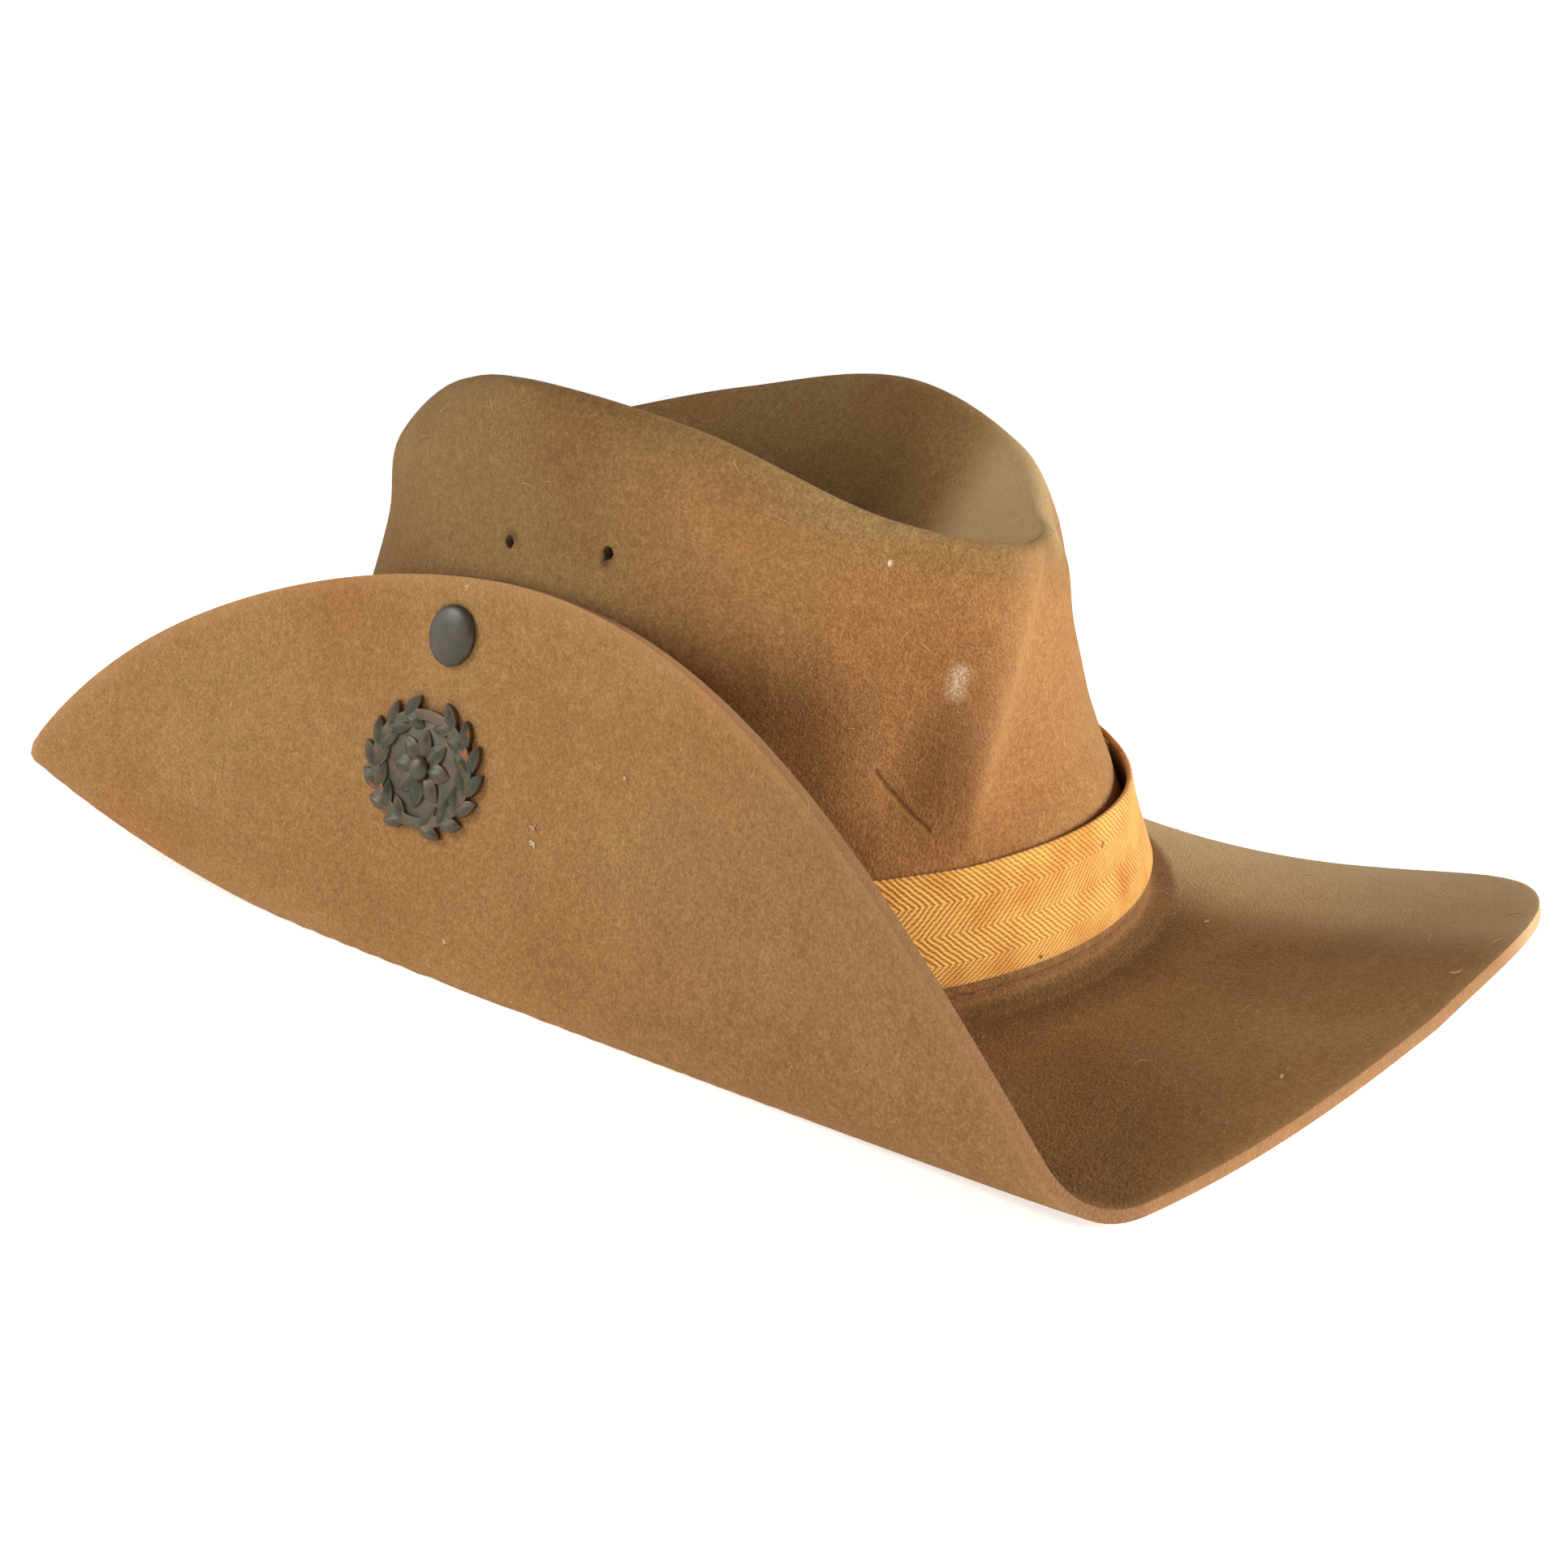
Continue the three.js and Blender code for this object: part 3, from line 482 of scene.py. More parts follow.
# Vents punched through the crown: the point nearest each one goes, and its neighbours make a ring
VENT_BORE, VENT_HEIGHT = 3, 98
VENT_BEARINGS = (179, 197)
SIDE_RINGS = range(30, 60)
for bearing in VENT_BEARINGS:
    i = min(range(STEPS_ROUND), key=lambda k: abs(bearings[k] - bearing))
    r = min(SIDE_RINGS, key=lambda k: abs(columns[i][k].z - VENT_HEIGHT))
    centre = grid[r][i].co.copy()
    around_it = [grid[r + a][i + b] for a, b in
                 ((-1, 0), (-1, 1), (0, 1), (1, 1), (1, 0), (1, -1), (0, -1), (-1, -1))]
    for v in around_it:
        v.co = centre + (v.co - centre).normalized() * VENT_BORE / 2
    bmesh.ops.delete(felt, geom=[grid[r][i]], context="VERTS")

bmesh.ops.remove_doubles(felt, verts=grid[0], dist=0.05)
bmesh.ops.recalc_face_normals(felt, faces=felt.faces)
felt.normal_update()
top_face = max(felt.faces, key=lambda f: f.calc_center_median().z)
if top_face.normal.z < 0:
    bmesh.ops.reverse_faces(felt, faces=felt.faces)
felt.normal_update()

# The felt's wall is half to each side of that surface, with the brim's raw cut edge a little rounded
felt_piece = smooth_piece("felt_body_worn", felt)
felt_mesh = felt_piece.data
solidify = felt_piece.modifiers.new("felt_thickness", "SOLIDIFY")
solidify.thickness = FELT * MM
solidify.offset = 0
solidify.use_even_offset = True
solidify.material_offset = 1
solidify.material_offset_rim = 2
soften_edges(felt_piece, "cut_edge", 0.5)

# Lean the hat and set it on the table, centred where the CAD felt is
low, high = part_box("felt_body")
leaned = Matrix.Rotation(-LEAN, 4, "Y") @ Matrix.Scale(MM, 4)
felt_mesh.transform(leaned)
bpy.context.view_layer.update()
settled = felt_piece.evaluated_get(bpy.context.evaluated_depsgraph_get()).to_mesh()
spots = [v.co.copy() for v in settled.vertices]
felt_low = Vector(min(p[k] for p in spots) for k in range(3))
felt_high = Vector(max(p[k] for p in spots) for k in range(3))
shift = (low + high) / 2 - (felt_low + felt_high) / 2
shift.z = low.z - felt_low.z
on_table = Matrix.Translation(shift) @ leaned
felt_mesh.transform(Matrix.Translation(shift))


# Small marks on the crown, each a path of (bearing, height) points: painted shade in the vents, a
# sharp wrinkle beside the ridge with painted shade in its crease, a pale rubbed patch, a dark prick
# near the vents and a pale speck.
# width is how far a mark fades out, in mm, and sunk how deep it lies beside the felt's own grain.
VENT_SHADE_MARKS = [dict(path=[(bearing - 0.2, VENT_HEIGHT), (bearing + 0.2, VENT_HEIGHT)], width=2.7,
                   tint="#2c2014", share=1, sunk=0) for bearing in VENT_BEARINGS]
MARKS = VENT_SHADE_MARKS + [
    # The wrinkle: sunk into the grain, with painted shade in its crease
    dict(path=[(237.3, 54.5), (239, 51), (240.7, 48), (242.3, 45), (244, 42)], width=1.0,
         tint="#5a3f24", share=0.45, sunk=2),
    dict(path=[(249.8, 71.5), (250.2, 75)], width=3.4, tint="#e8cba8", share=0.75, sunk=0),
    dict(path=[(165, 93.5), (165.3, 95)], width=1.0, tint="#4f4024", share=0.7, sunk=0.6),
    dict(path=[(238.6, 99.6), (238.7, 100)], width=0.7, tint="#ead8bc", share=1, sunk=0),
]


def outer_face(at, out):
    """Outer face of the felt at a point of its middle surface, and the way out of it, on the table."""
    return on_table @ (at + out * FELT / 2), (on_table.to_3x3() @ out).normalized()


def on_crown(bearing, height):
    """Point on the outer face of the crown's side at a height above the head line, on the table."""
    place = min((RIM_PLACE + k / 50 for k in range(250)),
                key=lambda place: abs(crown_point(bearing, place).z - height))
    at, on = crown_point(bearing, place), crown_point(bearing + 0.5, place)
    out = (crown_point(bearing, place + 0.05) - at).cross(on - at).normalized()
    return outer_face(at, out)[0]


# Wool felt: matted fibres, so no gloss but a soft bloom at grazing angles. Its fibres are dyed
# unevenly, which shows as a speckle (the finest fibres, about 0.1 mm, are drawn coarser so that they
# show), and age has left broad patches of redder and of more olive brown.
def felt_material(name, dark, body, light, redder, marked):
    material, tree, shader = new_material(name)
    where = object_place(tree)
    fibre_mm, speckle_mm, cloud_mm, patch_mm = 0.7, 1.8, 14, 60

    def grain(size_mm, detail, roughness):
        return noise(tree, where, Scale=1 / (size_mm * MM), Detail=detail, Roughness=roughness)

    fibres, speckle = grain(fibre_mm, 2, 0.8), grain(speckle_mm, 2, 0.6)
    clouds, patches = grain(cloud_mm, 3, 0.55), grain(patch_mm, 2, 0.5)
    grains = 0.0
    for layer, share in ((speckle, 0.25), (fibres, 0.63), (clouds, 0.12)):
        grains = maths(tree, "MULTIPLY_ADD", layer, share, grains)
    ground = ramp(tree, grains, [(0.27, dark), (0.50, body), (0.73, light)])
    red_patches = node(tree, "ShaderNodeMapRange", Value=patches, i1=0.42, i2=0.68, i4=0.55).outputs[0]
    colour = blended(tree, "MULTIPLY", red_patches, ground, redder)
    marks = node(tree, "ShaderNodeAttribute", {"attribute_name": "shade"})
    channels = node(tree, "ShaderNodeSeparateColor", Color=marks.outputs["Color"])
    # Red mixes in rubbed, paler wool, on the ridge also a painted highlight; Green tints it olive; Blue
    # darkens it with dust and with painted shade and shadow; Alpha mixes in a paler colour as painted light
    painted_light = maths(tree, "MULTIPLY", marks.outputs["Alpha"], 0.58)
    for kind, share, tint in (("MULTIPLY", channels.outputs["Green"], "#e2f2f4"),
                              ("MIX", channels.outputs["Red"], "#c08f60"),
                              ("MULTIPLY", channels.outputs["Blue"], "#77695a"),
                              ("MIX", painted_light, "#d9bb8b")):
        colour = blended(tree, kind, share, colour, tint)
    heights = maths(tree, "MULTIPLY_ADD", clouds, 2.0, fibres)
    speckled = node(tree, "ShaderNodeMapRange", Value=fibres, i1=0.42, i2=0.58, i3=0.35).outputs[0]
    for mark in marked:
        nearest = None
        points = [on_crown(*place) for place in mark["path"]]
        for start, end in zip(points, points[1:]):
            line = end - start
            away = node(tree, "ShaderNodeVectorMath", {"operation": "SUBTRACT"},
                        i0=where, i1=start).outputs[0]
            past_start = node(tree, "ShaderNodeVectorMath", {"operation": "DOT_PRODUCT"},
                              i0=away, i1=line / line.length_squared).outputs["Value"]
            held = node(tree, "ShaderNodeClamp", Value=past_start).outputs[0]
            foot = node(tree, "ShaderNodeVectorMath", {"operation": "SCALE"},
                        i0=line, Scale=held).outputs[0]
            gap = node(tree, "ShaderNodeVectorMath", {"operation": "DISTANCE"},
                       i0=away, i1=foot).outputs["Value"]
            nearest = maths(tree, "MINIMUM", nearest, gap) if nearest else gap
        near = node(tree, "ShaderNodeMapRange", {"interpolation_type": "SMOOTHSTEP"}, Value=nearest, i1=0.0,
                    i2=mark["width"] * MM, i3=mark["share"], i4=0.0).outputs[0]
        colour = blended(tree, "MIX", maths(tree, "MULTIPLY", near, speckled), colour, mark["tint"])
        heights = maths(tree, "MULTIPLY_ADD", near, -mark["sunk"], heights)
    tree.links.new(colour, shader.inputs["Base Color"])
    shader.inputs["Roughness"].default_value = 0.95
    shader.inputs["Specular IOR Level"].default_value = 0.12
    shader.inputs["Sheen Weight"].default_value = 0.18
    shader.inputs["Sheen Roughness"].default_value = 0.55
    shader.inputs["Sheen Tint"].default_value = srgb("#d2ab7c")
    roughen(tree, shader, 0.7, 0.7, heights)
    return material


for name, dark, body, light, redder, marked in (
        ("wool_felt_top", "#7b5733", "#a17547", "#c49764", "#f4d8c6", MARKS),
        ("wool_felt_underside", "#7b5733", "#a17547", "#c49764", "#f4dccc", []),
        ("wool_felt_cut_edge", "#64432c", "#835b3d", "#a37a55", "#f2d6c2", VENT_SHADE_MARKS)):
    felt_mesh.materials.append(felt_material(name, dark, body, light, redder, marked))
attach(felt_piece, "root")
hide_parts("felt_body")


# The band: a loop of cotton herringbone webbing, mustard gold, sewn round the foot of the crown. It
# keeps its oval where the crown is pinched in, so its top edge stands off the felt at the front.
BAND_THICK, BAND_GAP, BAND_BULGE = 1.3, 0.5, 0.25
BAND_STEPS, BAND_ROWS = 360, 10
STAND_OFF, STAND_OFF_BEARING, STAND_OFF_SPREAD = 2.5, 290, 20


def band_surface(bearing, share):
    """Inner face of the band, from its top edge (0) to its foot (1), and the direction outwards."""
    place = mix(BAND_TOP, BAND_FOOT, share)
    p = crown_point(bearing, place)
    down = crown_point(bearing, place + 0.05) - p
    across = crown_point(bearing + 0.5, place) - p
    out = down.cross(across).normalized()
    turn = (bearing - STAND_OFF_BEARING) / STAND_OFF_SPREAD
    stand = STAND_OFF * math.exp(-turn ** 2) * (1 - share) ** 1.5
    return p + out * (FELT / 2 + BAND_GAP + stand), out


band = bmesh.new()
uv = band.loops.layers.uv.new("weave")
bmesh.ops.create_grid(band, x_segments=BAND_STEPS, y_segments=BAND_ROWS, size=0.5)
for face in band.faces:
    for loop in face.loops:
        loop[uv].uv = (loop.vert.co.x + 0.5, loop.vert.co.y + 0.5)
round_band = 2 * math.pi * math.sqrt((CROWN_WIDTH ** 2 + CROWN_LENGTH ** 2) / 8)
for v in band.verts:
    p, out = band_surface((v.co.x + 0.5) * 360, 0.5 - v.co.y)
    v.co = p + out * (BAND_THICK / 2 + BAND_BULGE * math.sin(math.pi * (v.co.y + 0.5)))
bmesh.ops.remove_doubles(band, verts=band.verts, dist=0.02)
bmesh.ops.transform(band, matrix=on_table, verts=band.verts)
bmesh.ops.recalc_face_normals(band, faces=band.faces)
band_piece = smooth_piece("hat_band_webbing", band)
thick = band_piece.modifiers.new("webbing_thickness", "SOLIDIFY")
thick.thickness = BAND_THICK * MM
thick.offset = 0
soften_edges(band_piece, "selvedge", 0.4)

# Cotton webbing in broken twill: ribs about 1.6 mm apart that turn over at each of four rows, with
# the threads across them. It is matte, is painted darker in the hollows between the ribs as shade,
# and is soiled in places.
webbing, tree, shader = new_material("cotton_herringbone_webbing")
flat = node(tree, "ShaderNodeUVMap", {"uv_map": "weave"}).outputs["UV"]
in_mm = node(tree, "ShaderNodeVectorMath", {"operation": "MULTIPLY"}, i0=flat,
             i1=(round_band, BAND_WIDTH, 1)).outputs[0]
apart = node(tree, "ShaderNodeSeparateXYZ", Vector=in_mm)
ROWS, RIB_MM, SLOPE, WOBBLE_MM = 4, 1.6, 0.85, 1.1
THREAD_MM, THREAD_SHARE = 0.8, 0.28
row_wave = maths(tree, "PINGPONG", apart.outputs["Y"], BAND_WIDTH / ROWS)
lay = maths(tree, "MULTIPLY_ADD", row_wave, -1 / SLOPE, apart.outputs["X"])
lay = maths(tree, "MULTIPLY_ADD", noise(tree, in_mm, Scale=0.35, Detail=2), WOBBLE_MM, lay)
ribs = maths(tree, "SINE", maths(tree, "MULTIPLY", lay, 2 * math.pi / RIB_MM))
threads = maths(tree, "SINE", maths(tree, "MULTIPLY", apart.outputs["Y"], 2 * math.pi / THREAD_MM))
weave = maths(tree, "MULTIPLY_ADD", threads, THREAD_SHARE, ribs)
depth = node(tree, "ShaderNodeMapRange", Value=weave, i1=-1 - THREAD_SHARE, i2=1 + THREAD_SHARE).outputs[0]
# Painted shade: the colour is darker where the weave lies deeper
gold = ramp(tree, depth, [(0.0, "#b27a33"), (0.3, "#d99b45"), (0.7, "#f3b356"), (1.0, "#fac572")])
soil_and_shade = noise(tree, in_mm, Scale=0.07, Detail=4, Roughness=0.6)
soiled = blended(tree, "MULTIPLY", 1.0, gold, ramp(tree, soil_and_shade, [(0.45, "#ffffff"), (0.72, "#e6c09c")]))
flecks = ramp(tree, noise(tree, in_mm, Scale=0.22, Detail=0), [(0.80, "#ffffff"), (0.84, "#8a6434")])
tree.links.new(blended(tree, "MULTIPLY", 1.0, soiled, flecks), shader.inputs["Base Color"])
shader.inputs["Roughness"].default_value = 0.85
shader.inputs["Sheen Weight"].default_value = 0.15
shader.inputs["Specular IOR Level"].default_value = 0.25
roughen(tree, shader, 0.6, 0.4, depth)
band_piece.data.materials.append(webbing)
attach(band_piece, "root")
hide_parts("hat_band")


# The stitching: one row of long stitches in reddish-brown linen thread, which holds the band's foot
# to the felt and lies in the groove that it has pulled just below the band.
STITCH_LONG, STITCH_SPACE, THREAD_THICK, THREAD_WIDE = 5.5, 1.2, 0.4, 0.52
SUNK_IN_GROOVE = 0.55
TURNS = 1440
stitching = bmesh.new()


def seam_frame(bearing):
    """Place in the groove: x runs along the seam, z out of the felt."""
    at, on = crown_point(bearing, SEAM_PLACE), crown_point(bearing + 0.5, SEAM_PLACE)
    down = crown_point(bearing, SEAM_PLACE + 0.1) - at
    lengthwise = (on - at).normalized()
    out = down.cross(lengthwise).normalized()
    middle = at + out * (FELT / 2 - SUNK_IN_GROOVE * SEAM_GROOVE)
    axes = Matrix((lengthwise, out.cross(lengthwise), out)).transposed().to_4x4()
    return Matrix.Translation(middle) @ axes


travelled, pulled = 0.0, []
for k in range(TURNS):
    bearing = k * 360 / TURNS
    travelled += (seam_frame(bearing).translation - seam_frame(bearing - 360 / TURNS).translation).length
    if travelled > STITCH_LONG + STITCH_SPACE:
        travelled = 0
        pulled.append(bearing)
size = Matrix.Diagonal((STITCH_LONG, THREAD_WIDE, THREAD_THICK, 1))
for bearing in pulled:
    bmesh.ops.create_uvsphere(stitching, u_segments=8, v_segments=8, radius=0.5,
                              matrix=seam_frame(bearing) @ size)
bmesh.ops.transform(stitching, matrix=on_table, verts=stitching.verts)
stitch_piece = smooth_piece("brim_stitches", stitching)
thread, tree, shader = new_material("waxed_linen_thread")
ply = noise(tree, object_place(tree), Scale=900, Detail=2)
tree.links.new(ramp(tree, ply, [(0.35, "#662e1a"), (0.65, "#9c5540")]), shader.inputs["Base Color"])
shader.inputs["Roughness"].default_value = 0.7
stitch_piece.data.materials.append(thread)
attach(stitch_piece, "root")


# The press stud: a low domed cap of japanned steel with its rim rolled under, on the turned-up side.
STUD_DIAMETER, STUD_DOME, GAP = 13.5, 2.6, 0.3
STUD_FROM_EDGE, STUD_ALONG = 11.5, 13


def flap_frame(from_edge, along_flap):
    """Place on the turned-up side: x runs along it to the back, y up to its edge, z out of the felt."""
    end = CROWN_LENGTH / 2 + (BRIM_BACK if along_flap > 0 else BRIM_FRONT)
    edge = -(CROWN_WIDTH / 2 + BRIM_TURNED_UP) * math.sqrt(1 - (along_flap / end) ** 2)

    def on_flap(x, y):
        return turn_up(Vector((x, y, brim_height(180, 0, y))))

    at = on_flap(edge + from_edge, along_flap)
    rise = (on_flap(edge + from_edge - 1, along_flap) - at).normalized()
    back = (on_flap(edge + from_edge, along_flap + 1) - at).normalized()
    out = rise.cross(back).normalized()
    side = rise.cross(out)
    return Matrix.Translation(at) @ Matrix((side, rise, out)).transposed().to_4x4()


cap = bmesh.new()
seat = FELT / 2 + GAP
rim = STUD_DIAMETER / 2
# (share of the radius, share of the dome's height), from under the middle, round the rim, to the top
profile = [(0, 0.2), (0.86, 0.2), (0.93, 0.0), (0.985, 0.08), (1.0, 0.22), (0.985, 0.36),
           (0.93, 0.52), (0.82, 0.68), (0.64, 0.83), (0.42, 0.93), (0.2, 0.985), (0, 1.0)]
verts = [cap.verts.new((share * rim, 0, seat + rise * STUD_DOME)) for share, rise in profile]
edges = [cap.edges.new(pair) for pair in zip(verts, verts[1:])]
bmesh.ops.spin(cap, geom=verts + edges, axis=(0, 0, 1), cent=(0, 0, 0), steps=72,
               angle=2 * math.pi, use_merge=True)
bmesh.ops.remove_doubles(cap, verts=cap.verts, dist=1e-4)
bmesh.ops.recalc_face_normals(cap, faces=cap.faces)
bmesh.ops.transform(cap, matrix=on_table @ flap_frame(STUD_FROM_EDGE, STUD_ALONG), verts=cap.verts)
cap_piece = smooth_piece("stud_cap", cap)

# Japanned steel: a thin baked brown-black coat with a satin gloss, a little rubbed and dusty
japan, tree, shader = new_material("japanned_steel")
dust = noise(tree, object_place(tree), Scale=420, Detail=4, Roughness=0.65)
tree.links.new(ramp(tree, dust, [(0.35, "#332b1c"), (0.55, "#3d3423"), (0.75, "#4b402c")]),
               shader.inputs["Base Color"])
gloss = node(tree, "ShaderNodeMapRange", Value=dust, i3=0.34, i4=0.52).outputs[0]
tree.links.new(gloss, shader.inputs["Roughness"])
shader.inputs["Metallic"].default_value = 0.0
cap_piece.data.materials.append(japan)
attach(cap_piece, "root")
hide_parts("snap_cap")

# The stud's post is plain turned brass, hidden between brim and crown and seen only from inside
brass, tree, shader = new_material("turned_brass")
tarnish = noise(tree, object_place(tree), Scale=300, Detail=3)
tree.links.new(ramp(tree, tarnish, [(0.3, "#7d6334"), (0.7, "#b7974f")]), shader.inputs["Base Color"])
shader.inputs["Metallic"].default_value = 1.0
shader.inputs["Roughness"].default_value = 0.38
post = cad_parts["snap_post"]
post.material_slots[0].material = brass


# The badge: cast bronze, chemically darkened, with the copper colour showing where it is worn. Two
# sprays of leaves curve up round a plain rosette on an oval plate.
BADGE_WIDTH, BADGE_HEIGHT, BADGE_THICK, BADGE_RELIEF = 36, 30, 1.4, 1.1
BADGE_FROM_EDGE, BADGE_ALONG, BADGE_GAP = 41, 14.5, 0.6
LEAF_PAIRS, PETALS, BUTTON_RADIUS, PETAL_REACH = 7, 8, 0.09 * BADGE_HEIGHT, 0.17 * BADGE_HEIGHT
LEAF_LONG, LEAF_WIDE, PETAL_WIDE = 0.24 * BADGE_HEIGHT, 0.11 * BADGE_HEIGHT, 0.14 * BADGE_HEIGHT
badge = bmesh.new()


def leaf(length, width, place):
    """One leaf along x, pointed at both ends, hollowed either side of its midrib."""
    made = bmesh.ops.create_grid(badge, x_segments=8, y_segments=4, size=0.5)["verts"]
    for v in made:
        x, y = v.co.x, v.co.y
        outline = max(math.cos(math.pi * x), 0) ** 0.8
        ridge = 1 - abs(2 * y)
        v.co = Vector((x * length, y * width * max(outline, 0.06),
                       0.55 * BADGE_THICK + outline * BADGE_RELIEF * (0.35 + 0.9 * ridge ** 2)))
    rim_edges = list({e for v in made for e in v.link_edges if e.is_boundary})
    skirt = bmesh.ops.extrude_edge_only(badge, edges=rim_edges)["geom"]
    under = [v for v in skirt if isinstance(v, bmesh.types.BMVert)]
    for v in under:
        v.co.z = 0
    bmesh.ops.contextual_create(badge, geom=[g for g in skirt if isinstance(g, bmesh.types.BMEdge)
                                             and all(v in under for v in g.verts)])
    bmesh.ops.transform(badge, matrix=place, verts=made + under)


for hand in (-1, 1):
    for k in range(LEAF_PAIRS):
        turn = math.radians(mix(-70, 68, k / (LEAF_PAIRS - 1)))
        for side in (-1, 1):
            reach = 0.80 + 0.09 * side
            heading = turn + math.pi / 2 - 0.6 * side
            heading = heading if hand > 0 else math.pi - heading
            x = hand * reach * BADGE_WIDTH / 2 * math.cos(turn)
            y = reach * BADGE_HEIGHT / 2 * math.sin(turn)
            leaf(LEAF_LONG, LEAF_WIDE, Matrix.Translation((x, y, 0)) @ Matrix.Rotation(heading, 4, "Z"))
for k in range(PETALS):
    turn = 2 * math.pi * k / PETALS
    leaf(LEAF_LONG, PETAL_WIDE, Matrix.Rotation(turn, 4, "Z") @ Matrix.Translation((PETAL_REACH, 0, 0)))


def oval(outer, inner, height):
    """Oval plate, or a ring where inner isn't 0, both given as shares of the badge's size."""
    made = bmesh.ops.create_circle(badge, segments=64, radius=1, cap_ends=inner == 0)["verts"]
    for v in made:
        v.co = Vector((v.co.x * outer * BADGE_WIDTH / 2, v.co.y * outer * BADGE_HEIGHT / 2, 0))
    if inner:
        edges = list({e for v in made for e in v.link_edges})
        ring = bmesh.ops.extrude_edge_only(badge, edges=edges)["geom"]
        inside = [v for v in ring if isinstance(v, bmesh.types.BMVert)]
        for v in inside:
            v.co *= inner / outer
        faces = [f for f in ring if isinstance(f, bmesh.types.BMFace)]
        made = made + inside
    else:
        faces = list({f for v in made for f in v.link_faces})
    grown = bmesh.ops.extrude_face_region(badge, geom=faces)["geom"]
    top = [v for v in grown if isinstance(v, bmesh.types.BMVert)]
    for v in top:
        v.co.z += height
    return made + top


oval(0.72, 0, 0.4 * BADGE_THICK)
oval(0.86, 0.70, 0.9 * BADGE_THICK)
button = bmesh.ops.create_uvsphere(badge, u_segments=24, v_segments=12, radius=BUTTON_RADIUS)["verts"]
for v in button:
    v.co.z = BADGE_THICK + max(v.co.z, 0) * 0.6
for x in (-0.25, 0.25):
    lug = bmesh.ops.create_cone(badge, cap_ends=True, segments=16, radius1=1, radius2=1, depth=5)["verts"]
    bmesh.ops.translate(badge, verts=lug, vec=(x * BADGE_WIDTH, 0, -2.2))
bmesh.ops.recalc_face_normals(badge, faces=badge.faces)
bmesh.ops.transform(badge, verts=badge.verts,
                    matrix=on_table @ flap_frame(BADGE_FROM_EDGE, BADGE_ALONG)
                    @ Matrix.Translation((0, 0, FELT / 2 + BADGE_GAP)))
badge_piece = smooth_piece("leaf_badge", badge)
soften_edges(badge_piece, "cast_edges", 0.15)

bronze, tree, shader = new_material("darkened_cast_bronze")
where = object_place(tree)
pits = noise(tree, where, Scale=700, Detail=4, Roughness=0.6)
edge = node(tree, "ShaderNodeNewGeometry").outputs["Pointiness"]
worn = maths(tree, "MULTIPLY_ADD", pits, 0.10, edge)
metal = ramp(tree, worn, [(0.47, "#2a231c"), (0.53, "#4a443a"), (0.58, "#655f52"), (0.61, "#7d5640"),
                          (0.68, "#a8694a")])
patina = ramp(tree, noise(tree, where, Scale=170, Detail=3), [(0.40, "#f6ebe0"), (0.60, "#c4d6cc")])
tree.links.new(blended(tree, "MULTIPLY", 1.0, metal, patina), shader.inputs["Base Color"])
shader.inputs["Metallic"].default_value = 0.6
rough = node(tree, "ShaderNodeMapRange", Value=pits, i3=0.38, i4=0.6).outputs[0]
tree.links.new(rough, shader.inputs["Roughness"])
roughen(tree, shader, 0.35, 0.3, pits)
badge_piece.data.materials.append(bronze)
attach(badge_piece, "root")
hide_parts("badge")


# Stray wool fibres that have worked loose from the felt and lie curled on it, and white lint that has
# caught on it. Loose wool is about 0.03 mm thick, and is drawn thicker so that it shows.
FIBRES, FIBRE_THICK, FIBRE_STEPS, CLEAR_OF_TABLE = 600, 0.08, 6, 6
FIBRE_LONG, FIBRE_CURL, FIBRE_LIFT, OUTSIDE_SHARE = (1.5, 6), (-2.5, 2.5), (0.1, 0.5), 0.6
LINT_THREADS, LINT_LONG, LINT_THICK = 5, (0.3, 0.7), (0.2, 0.38)
LINT_CURL, LINT_LIFT = (-2, 2), (0.1, 0.6)
WOOL, COTTON = 0, 1
LINT_ON_FLAP = [
    dict(height=44, along=-20.5, long=2.4), dict(height=41, along=-21.5, long=3.0),
    dict(height=15, along=0, long=1.6), dict(height=9, along=-112, long=1.8),
    dict(height=92, along=12, long=1.5), dict(height=52, along=24, long=1.2),
    dict(height=60, along=-45, long=0.9), dict(height=28, along=58, long=0.9),
]
LINT_ON_BRIM = [
    dict(bearing=240.8, share=0.75, long=2.2), dict(bearing=260, share=0.82, long=1.6),
    dict(bearing=289.5, share=0.12, long=1.3), dict(bearing=277, share=0.93, long=1.8),
    dict(bearing=266, share=0.5, long=1.0), dict(bearing=318, share=0.6, long=1.1),
]
draw = random.Random(12)
loose = bpy.data.curves.new("stray_fibres", "CURVE")
loose.dimensions = "3D"
loose.bevel_depth = 1
loose.bevel_resolution = 0
loose.use_fill_caps = True


def strand(at, out, heading, length, thick, curl, lift, kind):
    """A thread that starts at a point on the felt, curls along it and rises a little from it."""
    across = out.cross(heading).normalized()
    spline = loose.splines.new("POLY")
    spline.points.add(FIBRE_STEPS)
    spline.material_index = kind
    here = at.copy()
    for step, point in enumerate(spline.points):
        point.co = (*here, 1)
        point.radius = thick / 2
        turn = curl * (step + 0.5) / FIBRE_STEPS
        way = heading * math.cos(turn) + across * math.sin(turn) + out * lift * (1 - 2 * step / FIBRE_STEPS)
        here += way * length / FIBRE_STEPS


def tangent(out, turn):
    level = out.orthogonal().normalized()
    return Matrix.Rotation(turn, 3, out) @ level


